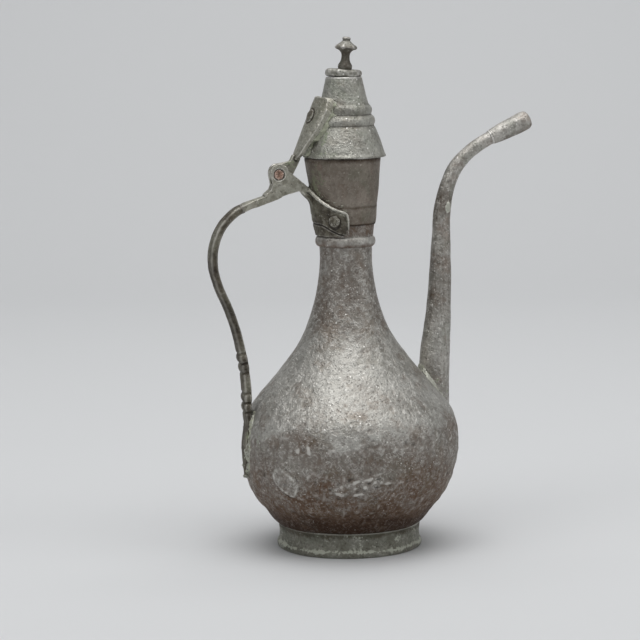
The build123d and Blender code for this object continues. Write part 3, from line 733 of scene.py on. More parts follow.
def body_pieces():
    """The belly bowl and the shoulder with its neck: two sheets with inner faces that meet at the seam."""
    outer = with_normals(smooth_line(BODY_OUTLINE, BODY_ROW))
    split = min(range(len(outer)), key=lambda k: abs(outer[k][1] - SEAM_HEIGHT))
    made = []
    for name, face in (("belly_bowl_beaten", outer[:split + 1]), ("shoulder_neck_beaten", outer[split:])):
        back = face[::-3] + ([] if (len(face) - 1) % 3 == 0 else face[:1])
        sheet = turned(name, face + inner_face(back), BODY_STEPS, beaten)
        made.append(weather(sheet, body_tone, body_crust, passes=1, calm=SEAM_HEIGHT, gain=7))
    return made


# The other sheet pieces

def uneven(size, amount, seed):
    """A lift rule: the same small waves all over a turned piece."""
    def lift(turn, radius, height):
        point = on_circle(radius, turn, height)
        return amount * (lumps(point, size, seed) + 0.45 * lumps(point, size * 0.4, seed + 5))
    return lift


def mottled(level, amount, size, seed):
    """A tone or crust rule: a level that wanders in lumps of one size."""
    return lambda angle, x, y, z: level + amount * lumps((x, y, z), size, seed)


def foot_ring():
    """A turned ring whose thick lower band is knocked and crusted."""
    line = smooth_line(FOOT_OUTSIDE, 0.6) + straight_line(FOOT_INSIDE, 1.2)
    waves = uneven(size=17, amount=0.3, seed=61)

    def lift(turn, radius, height):
        point = on_circle(radius, turn, height)
        knocked = 0.6 * max(0.0, lumps(point, 7, 63)) * bell(height - 3.4, 2.0)
        return (waves(turn, radius, height) - knocked) * eased(height, 0.0, 2.0)

    def tone(angle, x, y, z):
        # Painted shadow: the band at the top of the foot, under the belly's overhang, is darker.
        above = eased(z + 1.5 * lumps((x, y, z), 9, 69), 11.5, 14)
        return 0.2 + 0.4 * above + 0.25 * lumps((x, y, z), 14, 67)

    def crust(angle, x, y, z):
        rim = bell(z - 3.9 - 0.8 * lumps((x, y, z), 8, 65), 1.3)
        return 0.2 + 0.55 * rim + 0.4 * lumps((x, y, z), 9, 66)

    return weather(turned("foot_ring_turned", with_normals(line), steps=300, lift=lift), tone, crust)


def mouth_collar():
    """The flared sleeve of the mouth: lapped over the neck, with a faint step, leaning to the handle."""
    outer = [np.array((r + 0.2 * eased(z, LAP_HEIGHT + 0.6, LAP_HEIGHT - 0.6), z))
             for r, z in smooth_line(COLLAR_OUTLINE, 0.8)]
    face = with_normals(outer)
    waves = uneven(size=13, amount=0.25, seed=81)

    def lift(turn, radius, height):
        flare = 1.9 * eased(height, 216, 253) * (1 - 0.9 * eased(height, 253.4, 254.6))
        behind = max(0.0, math.cos(turn - math.radians(195)))
        ragged = 0.2 * lumps(on_circle(12, turn), 4, 82) * (1 - eased(height, 210.7, 212.5))
        return waves(turn, radius, height) + flare * behind ** 1.5 + ragged

    def tone(angle, x, y, z):
        seam = 0.5 * bell(z - LAP_HEIGHT - 0.5 * lumps((x, y, 0), 6, 84), 0.8)
        # A dark line along the lapped lower edge: the joint, with painted shadow in the gap under the lap.
        edge = bell(z - COLLAR_EDGE - 0.3 * lumps((x, y, 0), 5, 86), 0.7)
        low = 0.1 * (1 - eased(z, 212, 226)) + 1.2 * edge
        # The top just under the lid's skirt is darker: painted shade.
        return 0.16 + 0.8 * eased(z, 250, 254) + seam + low + 0.26 * lumps((x, y, z), 11, 83)

    def crust(angle, x, y, z):
        return 0.62 * bell(from_handle(angle) - 25, 24) * bell(z - 238, 14)

    piece = turned("mouth_collar_lapped", face + inner_face(face[::-2]), steps=240, lift=lift)
    for vert in piece.data.vertices:
        vert.co.x -= COLLAR_LEAN * (vert.co.z - COLLAR_LEAN_START * MM)
    return weather(piece, tone, crust, calm=COLLAR_EDGE)


def lid_cone():
    """The lid's skirt with its small lip, its two beads and its upper cone, and their inner face."""
    outer = smooth_line(LID_SKIRT, 0.35)[:-1] + smooth_line(LID_WAVES, 0.7) + straight_line(LID_TOP, 1.6)
    inner = straight_line(LID_INSIDE, 1.4)
    waves = uneven(size=12, amount=0.26, seed=91)

    def lift(turn, radius, height):
        point = on_circle(radius, turn, height)
        rim = 0.35 * lumps(point, 16, 93) * (1 - eased(height, 254, 259))
        beads = 0.35 * lumps(point, 7, 99) * bell(height - 280.5, 6)
        return (waves(turn, radius, height) + beads) * eased(radius, 0, 6) + rim

    def tone(angle, x, y, z):
        streaky = lumps((angle / 9, 0, z / 30), 1.0, 95)
        grooves = sum(bell(z - height, width) for height, width in LID_GROOVES)
        rim = 0.3 * (1 - eased(z, 254, 256))
        return 0.06 + 0.15 * streaky + 0.16 * grooves + rim + 0.34 * lumps((x, y, z), 10, 97)

    def crust(angle, x, y, z):
        beside_strap = bell(from_handle(angle) - 44, 12) * (1 - eased(z, 280, 296))
        return (0.5 + 0.3 * lumps((x, y, z), 4, 98)) * beside_strap

    sheet = with_normals(inner, side=-1) + with_normals(outer)
    piece = turned("lid_cone_beaded", sheet, steps=240, lift=lift)
    return weather(piece, tone, crust)


def askew(place, lean):
    """Moves a turned piece to a place (x, z) and leans its axis that much towards the spout."""
    return Matrix.Translation((place[0], 0, place[1])) @ Matrix.Rotation(lean, 4, "Y")


def lid_top_disc():
    """The cushion-shaped disc on the cone, a little askew and sagging at its lower edge."""
    waves = uneven(size=5.5, amount=0.42, seed=111)

    def lift(turn, radius, height):
        sag = 0.8 * max(0.0, lumps(on_circle(9, turn), 6, 113)) * eased(-height, 0, 1.5)
        return (waves(turn, radius, height) + sag) * eased(radius, 2, 9)

    def tone(angle, x, y, z):
        return 0.32 + 0.3 * (1 - eased(z, 304.8, 307.0)) + 0.15 * lumps((x, y, z), 4, 115)

    line = with_normals(smooth_line(DISC_OUTLINE, 0.45))
    place = askew(DISC_AT, DISC_LEAN)
    return weather(turned("lid_disc_cushion", line, steps=140, lift=lift, place=place), tone)


def finial():
    """The turned knob with its filed head, and the riveted end of its tenon under the lid."""
    waves = uneven(size=3.5, amount=0.16, seed=121)

    def lift(turn, radius, height):
        side = (turn * KNOB_FACES / FULL_TURN) % 1.0 - 0.5
        filed = radius * (math.cos(math.pi / KNOB_FACES) / math.cos(FULL_TURN * side / KNOB_FACES) - 0.94)
        head = eased(height, 10.5, 13.0) * (1 - eased(height, 16.5, 18.5))
        return waves(turn, radius, height) * eased(radius, 0, 2) + 0.6 * filed * head

    line = with_normals(smooth_line(KNOB_OUTLINE, 0.35))
    knob = turned("finial_knob", line, steps=72, lift=lift, place=askew(KNOB_AT, KNOB_LEAN))
    stem = with_normals(straight_line(TENON_OUTLINE, 0.9))
    tenon = turned("finial_tenon", stem, steps=40, place=Matrix.Translation((KNOB_AT[0], 0, 0)))

    def tone(angle, x, y, z):
        return 0.5 + 0.3 * bell(z - 318, 5) - 0.25 * eased(z, 323.6, 326) * (1 - eased(z, 328, 329))

    return weather(fused("finial_turned", [knob, tenon]), tone)


# The handle, hinge and strap

def bar_section(half, side, inside, crown):
    """The bar's section as (side, out) points: a flat inner face, two sides and a crowned outer face."""
    edge = np.linspace(-1, 1, 13)[1:-1]
    points = [(-half, t) for t in np.linspace(-inside, side, 7)]
    points += [(half * t, side + crown * (1 - t * t)) for t in edge]
    points += [(half, t) for t in np.linspace(side, -inside, 7)]
    points += [(half * t, -inside) for t in edge[::-1]]
    points = np.array(points)
    for _ in range(2):
        points = (np.roll(points, 1, 0) + 2 * points + np.roll(points, -1, 0)) / 4
    return points


def handle_bar():
    """The forged bar: two pairs of filed lobes with a swelling between, and a leaf that hugs the belly."""
    leaf = [(-(body_radius(z) - leaf_dent(180, z) + 0.9), z) for z in LEAF_HEIGHTS]
    line = np.array(smooth_line(BAR_LINE + leaf, 0.5))
    run = np.gradient(line, axis=0)
    run /= np.linalg.norm(run, axis=1)[:, None]
    rings = []
    for (x, z), (along_x, along_z) in zip(line, run):
        lobe = max(bell(z - height, LOBE_WIDTH) for height in LOBE_HEIGHTS)
        notch = max(max(0.0, 1 - abs(z - height) / NOTCH_HALF) for height in NOTCH_HEIGHTS)
        knocks = 0.3 * lumps((x, 0, z), 14, 131)
        shape = bar_section(table_value(BAR_HALF_WIDTHS, z) + 0.5 * lobe - 0.7 * notch + knocks,
                            table_value(BAR_OUTSIDES, z) + 0.55 * lobe - 0.5 * notch,
                            table_value(BAR_INSIDES, z), BAR_CROWN)
        ring = []
        for side, out in shape:
            spot = (x + out, side, z)
            rough = 1 + 0.03 * lumps(spot, 3.0, 133) + 0.04 * lumps(spot, 7.0, 135)
            ring.append((x + out * rough * along_z, side * rough, z - out * rough * along_x))
        rings.append(ring)
    ends = [tuple(np.mean(ring, 0)) for ring in (rings[0], rings[-1])]
    piece = skin("handle_bar_forged", rings, start=ends[0], end=ends[1])

    def tone(angle, x, y, z):
        streaky = 0.35 * lumps((y * 3, x, z), 9, 138)
        return 0.68 + streaky + 0.28 * lumps((x, y, z), 12, 137) - 0.2 * bell(z - 206, 9)

    def crust(angle, x, y, z):
        return 0.5 * (1 - eased(z, 74, 98)) * eased(abs(y), 2.0, 5.5) + 0.25 * lumps((x, y, z), 6, 139)

    return weather(piece, tone, crust, passes=2)


def wing_edge(side):
    """The thick rolled upper edge of one wing, from the hinge's arm to the wing's tip."""
    rows = [on_circle(radius, math.radians(180 - side * turn), height)
            for turn, height, radius in WING_EDGE]
    line = [Vector(p) for p in smooth_line(rows, 0.7)]
    rings = []
    for k, point in enumerate(line):
        forward = (line[min(k + 1, len(line) - 1)] - line[max(k - 1, 0)]).normalized()
        away = Vector((point.x, point.y, 0)).normalized()
        across = forward.cross(away).normalized()
        size = (WING_ROPE - WING_ROPE_TAPER * k / len(line)) * (1 + 0.25 * lumps(point, 3, 141))
        rings.append([point + size * (math.cos(t) * away + math.sin(t) * across) for t in turns_round(12)])
    return skin("wing_edge", rings, start=line[0], end=line[-1])


def off_wing(x, y, z):
    """How far a place on the collar is above the line of the wings' upper edge, in mm."""
    turn = from_handle(math.degrees(math.atan2(y, x)))
    return z - table_value([row[:2] for row in WING_EDGE], turn) if turn < WING_END else FAR_OFF


def handle_yoke():
    """The upper end of the handle: two cheeks for the pin, and the saddle whose wings hold the collar."""
    def crack(x, y, z):
        turn = from_handle(math.degrees(math.atan2(y, x)))
        wander = 0.4 * lumps((x, y, z), 5, 149)
        return bell(z - table_value(WING_CRACK, turn) - wander, 0.55) * (z < WING_CRACK_TOP) * (x > -30)

    def relief(point, normal):
        worn = 0.12 + 0.2 * lumps(point, 4.5, 143) + 0.14 * lumps(point, 2.0, 145)
        reach = math.hypot(point.x - HINGE[0], point.z - HINGE[1])
        sunk = 0.6 * (1 - eased(reach, PIN_RADIUS, PIN_RADIUS + 0.6)) * (abs(normal.y) > 0.6)
        return max(0.0, worn) + sunk + 0.5 * crack(*point)

    def tone(angle, x, y, z):
        # The wing plates below their rolled edges are darker: painted shade of their downward-facing faces.
        wing = eased(x, -32, -25) * (1 - eased(off_wing(x, y, z), -3.2, -1.2))
        # A dark ring round each rivet head: painted shadow.
        ring = bell(math.dist((x, abs(y), z), YOKE_RIVET) - 3.9, 0.6)
        # The rolled edges are lighter: a painted highlight.
        painted_rope_highlight = -0.15 * bell(off_wing(x, y, z), 1.5)
        blotches = 0.25 * lumps((x, y, z), 8, 147) + 0.3 * lumps((x, y, z), 3.5, 148)
        return 0.02 + 0.6 * wing + painted_rope_highlight + blotches + 0.7 * ring + 0.6 * crack(x, y, z)

    def crust(angle, x, y, z):
        return 0.35 * eased(x, -52, -46) * bell(z - 246, 5) + 0.3 * bell(math.hypot(x + 30, z - 236), 5)

    edges = [wing_edge(1), wing_edge(-1)]
    piece = worn_solid("handle_yoke_forged", "handle_yoke", FORGED_VOXEL, relief, edges)
    for vert in piece.data.vertices:
        x, y, z = vert.co / MM
        # The bar narrows to the cheeks.
        if x < -35 and abs(y) > CLEVIS_HALF:
            vert.co.y *= 1 - (1 - CLEVIS_HALF / abs(y)) * eased(x, *CHEEK_TAPER)
        # The rib at the back sinks into the saddle.
        proud = math.hypot(x, y) - SADDLE_RADIUS - SADDLE_FLARE * (z - SADDLE_HEIGHT)
        if x > -28 and abs(y) < RIB_HALF and proud > 0:
            shrink = 1 - 0.9 * proud * (1 - eased(z, *RIB_HEIGHTS)) / math.hypot(x, y)
            vert.co.x *= shrink
            vert.co.y *= shrink
    return weather(piece, tone, crust, passes=1, gain=6)


def hinge_strap():
    """The strap round the back of the lid, with its leg and the knuckle on the pin."""
    def relief(point, normal):
        return max(0.0, 0.08 + 0.18 * lumps(point, 5.5, 151) + 0.08 * lumps(point, 2.0, 153))

    def tone(angle, x, y, z):
        # A dark ring round the rivet head: painted shadow.
        ring = bell(math.dist((x, y, z), STRAP_RIVET) - 4.7, 0.8)
        return 0.02 + 0.28 * lumps((x, y, z), 10, 155) + 0.2 * bell(z - 250, 5) + 1.2 * ring

    def crust(angle, x, y, z):
        return 0.45 * bell(z - 251, 6) + 0.3 * lumps((x, y, z), 7, 157)

    piece = worn_solid("hinge_strap_forged", "hinge_strap", FORGED_VOXEL, relief)
    return weather(piece, tone, crust, passes=1, gain=6)


def strap_solder():
    """The solder that beds the strap on the lid, squeezed out along its edges."""
    def relief(point, normal):
        return -0.25 + 0.5 * lumps(point, 2.6, 161) + 0.2 * lumps(point, 1.2, 163)

    piece = worn_solid("strap_solder_bed", "strap_solder", SOLDER_VOXEL, relief)
    return weather(piece, mottled(-0.1, 0.4, 3, 165), mottled(0.75, 0.4, 5, 167), passes=2)


def hinge_pin():
    """The copper pin, hammered over inside the cheeks' countersinks, its face cracked and uneven."""
    rings = []
    for depth, radius in PIN_RINGS:
        ring = []
        for turn in turns_round(48):
            spot = (radius * math.cos(turn), depth, radius * math.sin(turn))
            ragged = radius * (1 - 0.08 * max(0.0, lumps(spot, 1.7, 171)))
            dimple = 0.5 * lumps(spot, 1.5, 173) * (radius < 3.2)
            ring.append((HINGE[0] + ragged * math.cos(turn), depth - CLEVIS_HALF + dimple,
                         HINGE[1] + ragged * math.sin(turn)))
        rings.append(ring)
    ends = [(HINGE[0], side * (CLEVIS_HALF - PIN_SUNK), HINGE[1]) for side in (-1, 1)]
    piece = skin("hinge_pin_hammered", rings, start=ends[0], end=ends[1])

    def tone(angle, x, y, z):
        edge = eased(math.hypot(x - HINGE[0], z - HINGE[1]), 2.5, 3.2)
        return 0.02 + 0.75 * edge + 0.9 * lumps((x, y, z), 2.0, 175)

    return weather(piece, tone, passes=1)


def leaf_solder():
    """Lumps of solder on the belly beside the handle's leaf, one strip on each side."""
    pieces = []
    low, high = LEAF_SOLDER_HEIGHTS
    last = LEAF_SOLDER_ROWS - 1
    for side in (-1, 1):
        rings = []
        for k in range(LEAF_SOLDER_ROWS):
            height = low + (high - low) * k / last
            edge = table_value(BAR_HALF_WIDTHS, height) - LEAF_SOLDER_UNDER
            width = 5.2 + 2.6 * lumps((height, side * 9, 0), 6, 181)
            width = width * eased(k, -1, 14) * (1 - eased(k, 62, last)) + 0.6
            top, base = [], []
            for part in np.linspace(0, 1, LEAF_SOLDER_POINTS):
                y = side * (edge + width * part)
                radius = body_radius(height)
                angle = math.degrees(math.atan2(y, -math.sqrt(radius ** 2 - y ** 2)))
                radius -= leaf_dent(angle, height)
                x = -math.sqrt(radius ** 2 - y ** 2)
                spot = (y, height, side)
                lump = 1.9 + 1.3 * lumps(spot, 3.2, 183) + 0.8 * lumps(spot, 1.4, 185)
                rise = lump * (1 - part ** 1.6) - 0.4
                out = Vector((x, y, 0)).normalized()
                top.append(Vector((x, y, height)) + out * rise)
                base.append(Vector((x, y, height)) - out * 1.2)
            rings.append(top + base[::-1])
        ends = [sum(ring, Vector()) / len(ring) for ring in (rings[0], rings[-1])]
        pieces.append(skin("leaf_solder", rings, start=ends[0], end=ends[1]))
    piece = fused("handle_solder_lumps", pieces)
    return weather(piece, mottled(0.12, 0.5, 3, 187), mottled(0.45, 0.5, 5, 189), passes=2)


# The spout

def spout_frames():
    """Rows of (x, z, radius) along the spout's middle line, and the line's direction at each."""
    rows = np.array(smooth_line(SPOUT_LINE, SPOUT_ROW))
    run = np.gradient(rows[:, :2], axis=0)
    return rows, run / np.linalg.norm(run, axis=1)[:, None]


SPOUT_ROWS, SPOUT_RUN = spout_frames()


def spout_point(place, turn, change=0.0):
    """A point on the tube at a place along it, counted in rows, and a turn round it."""
    place = min(max(place, 0.0), len(SPOUT_ROWS) - 1.001)
    low, part = int(place), place - int(place)
    x, z, radius = SPOUT_ROWS[low] * (1 - part) + SPOUT_ROWS[low + 1] * part
    along_x, along_z = SPOUT_RUN[low] * (1 - part) + SPOUT_RUN[low + 1] * part
    out, side = (radius + change) * math.cos(turn), (radius + change) * math.sin(turn)
    return Vector((x + out * along_z, side, z - out * along_x))


def spout_root(turn):
    """Where along the tube its skin leaves the body's wall, for a turn round it."""
    for place in np.arange(0, len(SPOUT_ROWS) / 2, ROOT_STEP):
        point = spout_point(place, turn)
        if math.hypot(point.x, point.y) > body_radius(point.z) - ROOT_DEPTH:
            return float(place)
    return len(SPOUT_ROWS) / 2


def spout_tube():
    """The tapered tube: its end is cut to the belly, its skin is a little dented and it is hollow."""
    last = len(SPOUT_ROWS) - 1
    turns = turns_round(SPOUT_STEPS)
    roots = [spout_root(turn) for turn in turns]

    def wall(change, rough):
        rings = []
        for k in range(last + 1):
            part = k / last
            ring = []
            for turn, root in zip(turns, roots):
                place = part * last + (1 - part) ** 3 * root
                point = spout_point(place, turn, change)
                dent = 0.22 * lumps(point, 11, 191) + 0.12 * lumps(point, 4.5, 193)
                ring.append(spout_point(place, turn, change + rough * dent))
            rings.append(ring)
        return rings

    def tone(angle, x, y, z):
        browned = bell(z - 222, 16) + 0.9 * bell(z - 172, 34)
        streaky = lumps((x * 3, y * 3, z / 4), 3.0, 194)
        worn = 0.4 * browned * (0.6 + 0.5 * lumps((x, y, z), 9, 195)) + 0.2 * streaky
        return 0.1 + worn + 0.18 * lumps((x, y, z), 18, 197)

    def crust(angle, x, y, z):
        return 0.35 * (1 - eased(z, 96, 126)) + 0.15 * lumps((x, y, z), 8, 199)

    piece = skin("spout_tube_drawn", wall(0.0, 1.0) + wall(-SPOUT_WALL, 0.8)[::-1], looped=True)
    return weather(piece, tone, crust)


def spout_nozzle():
    """The cast sleeve on the tip: it swells to a rounded lip with the pouring mouth in it."""
    x0, z0 = NOZZLE_START
    place = askew(NOZZLE_START, math.pi / 2 - NOZZLE_RISE)
    waves = uneven(size=5, amount=0.16, seed=201)

    def lift(turn, radius, height):
        return waves(turn, radius, height) * eased(radius, 3.8, 4.6) * eased(height, 0.0, 2.0)

    def tone(angle, x, y, z):
        under = (x - x0) * math.sin(NOZZLE_RISE) - (z - z0) * math.cos(NOZZLE_RISE)
        return 0.02 + 0.4 * eased(under, 0, 6) + 0.25 * lumps((x, y, z), 5, 203)

    line = with_normals(smooth_line(NOZZLE_OUTLINE, 0.5) + straight_line(NOZZLE_BORE, 1.0))
    return weather(turned("spout_nozzle_cast", line, steps=96, lift=lift, place=place), tone)


def spout_solder():
    """A wiped band of solder round the spout's root, thick in the crotch above it."""
    steps, across = 110, 14
    profiles = []
    for turn in turns_round(steps):
        root = spout_root(turn)
        base, middle = spout_point(root, turn), spout_point(root, 0.0, -SPOUT_ROWS[int(root)][2])
        away = (base - middle).normalized()
        crotch = eased(-math.cos(turn), -0.4, 1.0)
        climb = (3.6 + 3.2 * crotch + 1.8 * lumps(base, 6, 211)) / SPOUT_ROW
        spread = 5.4 + 2.6 * crotch + 1.8 * lumps(base, 5, 213)
        profile = []
        for part in np.linspace(0, 1, across):
            lump = 0.45 * lumps(base + Vector((0, 0, 9 * part)), 2.2, 215)
            rise = (0.9 + 0.6 * crotch + lump) * math.sin(math.pi * part)
            if part < 0.5:
                spot = base + away * spread * (1 - part * 2)
                grow = (body_radius(spot.z) + rise - 0.25) / math.hypot(spot.x, spot.y)
                profile.append(Vector((spot.x * grow, spot.y * grow, spot.z)))
            else:
                profile.append(spout_point(root + climb * (part * 2 - 1), turn, rise - 0.1))
        inside = (middle - profile[-1]).normalized() * 0.7
        below = Vector((profile[0].x, profile[0].y, 0)).normalized()
        profiles.append(profile + [profile[-1] + inside, profile[0] - below])
    piece = skin("spout_solder_band", [list(ring) for ring in zip(*profiles)], looped=True)
    return weather(piece, mottled(-0.05, 0.4, 6, 217), mottled(0.25, 0.45, 6, 219), passes=2)


def spout_mend():
    """A flat blob of solder wiped over a hole in the spout."""
    height, turn = MEND
    length, width = MEND_HALF
    place = int(np.argmin(np.abs(SPOUT_ROWS[:, 1] - height)))
    rings = []
    for reach, rise in MEND_RINGS:
        ring = []
        for angle in turns_round(28):
            wide = reach * (1 + 0.4 * lumps(on_circle(2, angle), 1.4, 221))
            along, round_it = length * wide * math.sin(angle), width * wide * math.cos(angle)
            ring.append(spout_point(place + along, turn + round_it, rise))
        rings.append(ring)
    ends = [spout_point(place, turn, rise) for rise in (0.9, -0.5)]
    piece = skin("spout_mend_solder", rings, start=ends[0], end=ends[1])
    return weather(piece, lambda *place: -0.1, passes=1)


# What repeats or follows a path, by Geometry Nodes

def new_tree(name, sizes):
    """A geometry tree with a geometry input, a number input for each size, and a material input."""
    tree = bpy.data.node_groups.new(name, "GeometryNodeTree")
    tree.interface.new_socket("Geometry", in_out="INPUT", socket_type="NodeSocketGeometry")
    for size in sizes:
        tree.interface.new_socket(size, in_out="INPUT", socket_type="NodeSocketFloat")
    tree.interface.new_socket("Finish", in_out="INPUT", socket_type="NodeSocketMaterial")
    tree.interface.new_socket("Geometry", in_out="OUTPUT", socket_type="NodeSocketGeometry")
    return tree, tree.nodes.new("NodeGroupInput").outputs


def roughened(tree, geometry, given):
    """Moves a tree's geometry in and out by noise."""
    place = add(tree, "GeometryNodeInputPosition")
    knocks = add(tree, "ShaderNodeTexNoise", {"Vector": place, "Scale": given["Grain"], "Detail": 2.0})
    depth = add(tree, "ShaderNodeMath", {0: knocks, 1: 0.5}, operation="SUBTRACT")
    depth = add(tree, "ShaderNodeMath", {0: depth, 1: given["Unevenness"]}, operation="MULTIPLY")
    normal = add(tree, "GeometryNodeInputNormal")
    move = add(tree, "ShaderNodeVectorMath", {0: normal, "Scale": depth}, operation="SCALE")
    return add(tree, "GeometryNodeSetPosition", {"Geometry": geometry, "Offset": move})


def end_tree(tree, geometry, finish):
    """Makes instances real and sets their finish."""
    real = add(tree, "GeometryNodeRealizeInstances", {"Geometry": geometry})
    smooth = add(tree, "GeometryNodeSetShadeSmooth", {"Geometry": real})
    dressed = add(tree, "GeometryNodeSetMaterial", {"Geometry": smooth, "Material": finish})
    add(tree, "NodeGroupOutput", {"Geometry": dressed})
    return tree


def grown(name, mesh, tree, values):
    """A plain mesh object grown from a mesh by a geometry tree whose inputs are set by name."""
    piece = new_piece(name, mesh)
    modifier = piece.modifiers.new("growth", "NODES")
    modifier.node_group = tree
    for socket in tree.interface.items_tree:
        if socket.in_out == "INPUT" and socket.name in values:
            modifier[socket.identifier] = values[socket.name]
    piece.data = applied(piece)
    piece.data.name = name
    return piece


def rivet_tree():
    """Domed heads on points: each stands along its point's facing and is as wide as its point's size."""
    tree, given = new_tree("hammered_heads", ["Flatness", "Unevenness", "Grain"])
    ball = add(tree, "GeometryNodeMeshUVSphere", {"Segments": 40, "Rings": 24, "Radius": 1.0})
    shape = add(tree, "ShaderNodeCombineXYZ", {0: 1.0, 1: 1.0, 2: given["Flatness"]})
    head = add(tree, "GeometryNodeTransform", {"Geometry": ball, "Scale": shape})
    facing = add(tree, "GeometryNodeInputNamedAttribute", {"Name": "facing"}, data_type="FLOAT_VECTOR")
    size = add(tree, "GeometryNodeInputNamedAttribute", {"Name": "size"}, data_type="FLOAT")
    turn = add(tree, "FunctionNodeAlignRotationToVector", {"Vector": facing}, axis="Z")
    heads = add(tree, "GeometryNodeInstanceOnPoints", {"Points": given["Geometry"], "Instance": head,
                                                       "Rotation": turn, "Scale": size})
    real = add(tree, "GeometryNodeRealizeInstances", {"Geometry": heads})
    return end_tree(tree, roughened(tree, real, given), given["Finish"])


def crumb_tree():
    """Small lumps scattered over a host's faces, more of them where its spread attribute is high."""
    tree, given = new_tree("scattered_crumbs", ["Density", "Smallest", "Largest", "Seed"])
    spread = add(tree, "GeometryNodeInputNamedAttribute", {"Name": "spread"}, data_type="FLOAT")
    density = add(tree, "ShaderNodeMath", {0: spread, 1: given["Density"]}, operation="MULTIPLY")
    seed = add(tree, "FunctionNodeFloatToInt", {"Float": given["Seed"]})
    points = add(tree, "GeometryNodeDistributePointsOnFaces",
                 {"Mesh": given["Geometry"], "Density": density, "Seed": seed})
    ball = add(tree, "GeometryNodeMeshIcoSphere", {"Radius": 1.0, "Subdivisions": 2})
    flat = add(tree, "GeometryNodeTransform", {"Geometry": ball, "Scale": (1.0, 0.8, 0.55)})
    size = add(tree, "FunctionNodeRandomValue",
               {2: given["Smallest"], 3: given["Largest"], "Seed": seed}, out=1, data_type="FLOAT")
    crumbs = add(tree, "GeometryNodeInstanceOnPoints", {"Points": points, "Instance": flat, "Scale": size,
                                                        "Rotation": points.node.outputs["Rotation"]})
    return end_tree(tree, crumbs, given["Finish"])


def ring_tree():
    """A ring of one oval section carried round a circle, with its skin made uneven."""
    sizes = ["Ring Radius", "Half Width", "Half Height", "Unevenness", "Grain"]
    tree, given = new_tree("worked_ring", sizes)
    path = add(tree, "GeometryNodeCurvePrimitiveCircle",
               {"Resolution": 260, "Radius": given["Ring Radius"]})
    circle = add(tree, "GeometryNodeCurvePrimitiveCircle", {"Resolution": 28, "Radius": 1.0})
    shape = add(tree, "ShaderNodeCombineXYZ", {0: given["Half Width"], 1: given["Half Height"], 2: 1.0})
    section = add(tree, "GeometryNodeTransform", {"Geometry": circle, "Scale": shape})
    ring = add(tree, "GeometryNodeCurveToMesh", {"Curve": path, "Profile Curve": section})
    return end_tree(tree, roughened(tree, ring, given), given["Finish"])


def rivet_heads(name, tree, rows, values):
    """Rivet heads on seats, each from a (place, facing, radius) row in mm."""
    mesh = bpy.data.meshes.new(name)
    mesh.from_pydata([Vector(place) * MM for place, _, _ in rows], [], [])
    facing = mesh.attributes.new("facing", "FLOAT_VECTOR", "POINT")
    facing.data.foreach_set("vector", [v for _, out, _ in rows for v in Vector(out).normalized()])
    store(mesh, "size", [radius * MM for _, _, radius in rows])
    return weather(grown(name, mesh, tree, values), mottled(0.5, 0.4, 2.5, 251), passes=1)


def yoke_rivets(tree):
    """The heads of the two rivets through the saddle's wings, and their closed ends inside the neck."""
    rows = []
    up = Vector((0, 0, YOKE_RIVET[2]))
    for side in (-1, 1):
        out = Vector(on_circle(1, math.radians(180 + side * YOKE_RIVET_TURN), YOKE_RIVET_TILT))
        rows += [(out * away + up, out * facing, radius) for away, facing, radius in YOKE_RIVET_HEADS]
    values = {"Flatness": 0.4, "Unevenness": 1.1 * MM, "Grain": per_mm(2.4), "Finish": CAST_BRONZE}
    return rivet_heads("yoke_rivet_heads", tree, rows, values)


def strap_rivet(tree):
    """The broad head of the strap's rivet and its closed end inside the lid."""
    turn, rise = STRAP_RIVET_TURN, STRAP_RIVET_RISE
    out = Vector(on_circle(math.cos(rise), turn, math.sin(rise)))
    seat = Vector(on_circle(STRAP_RIVET_SEAT, turn, STRAP_RIVET[2]))
    rows = [(seat + out * away, out * facing, radius) for away, facing, radius in STRAP_RIVET_HEADS]
    values = {"Flatness": 0.3, "Unevenness": 0.8 * MM, "Grain": per_mm(2.8), "Finish": CAST_BRONZE}
    return rivet_heads("strap_rivet_head", tree, rows, values)


def neck_ring(tree):
    """The half-round bead soldered round the neck."""
    piece = grown("neck_ring_bead", bpy.data.meshes.new("neck_ring_start"), tree,
                  {"Ring Radius": NECK_RING_RADIUS * MM, "Half Width": 2.15 * MM, "Half Height": 3.35 * MM,
                   "Unevenness": 0.9 * MM, "Grain": per_mm(7.0), "Finish": TINNED_BODY})
    for vert in piece.data.vertices:
        vert.co.z += NECK_RING_HEIGHT * MM - NECK_RING_LEAN * vert.co.x
        vert.co.x -= NECK_RING_SHIFT * MM
    tidy_mesh(opened(piece.data), piece.data, FORGED_SHARP)

    def tone(angle, x, y, z):
        return 0.24 + 0.45 * (1 - eased(z, 196.5, 199.5)) + 0.25 * lumps((x, y, z), 6, 231)

    def crust(angle, x, y, z):
        return 0.3 * eased(-x, 5, 19) + 0.25 * lumps((x, y, z), 8, 233)

    return weather(piece, tone, crust)


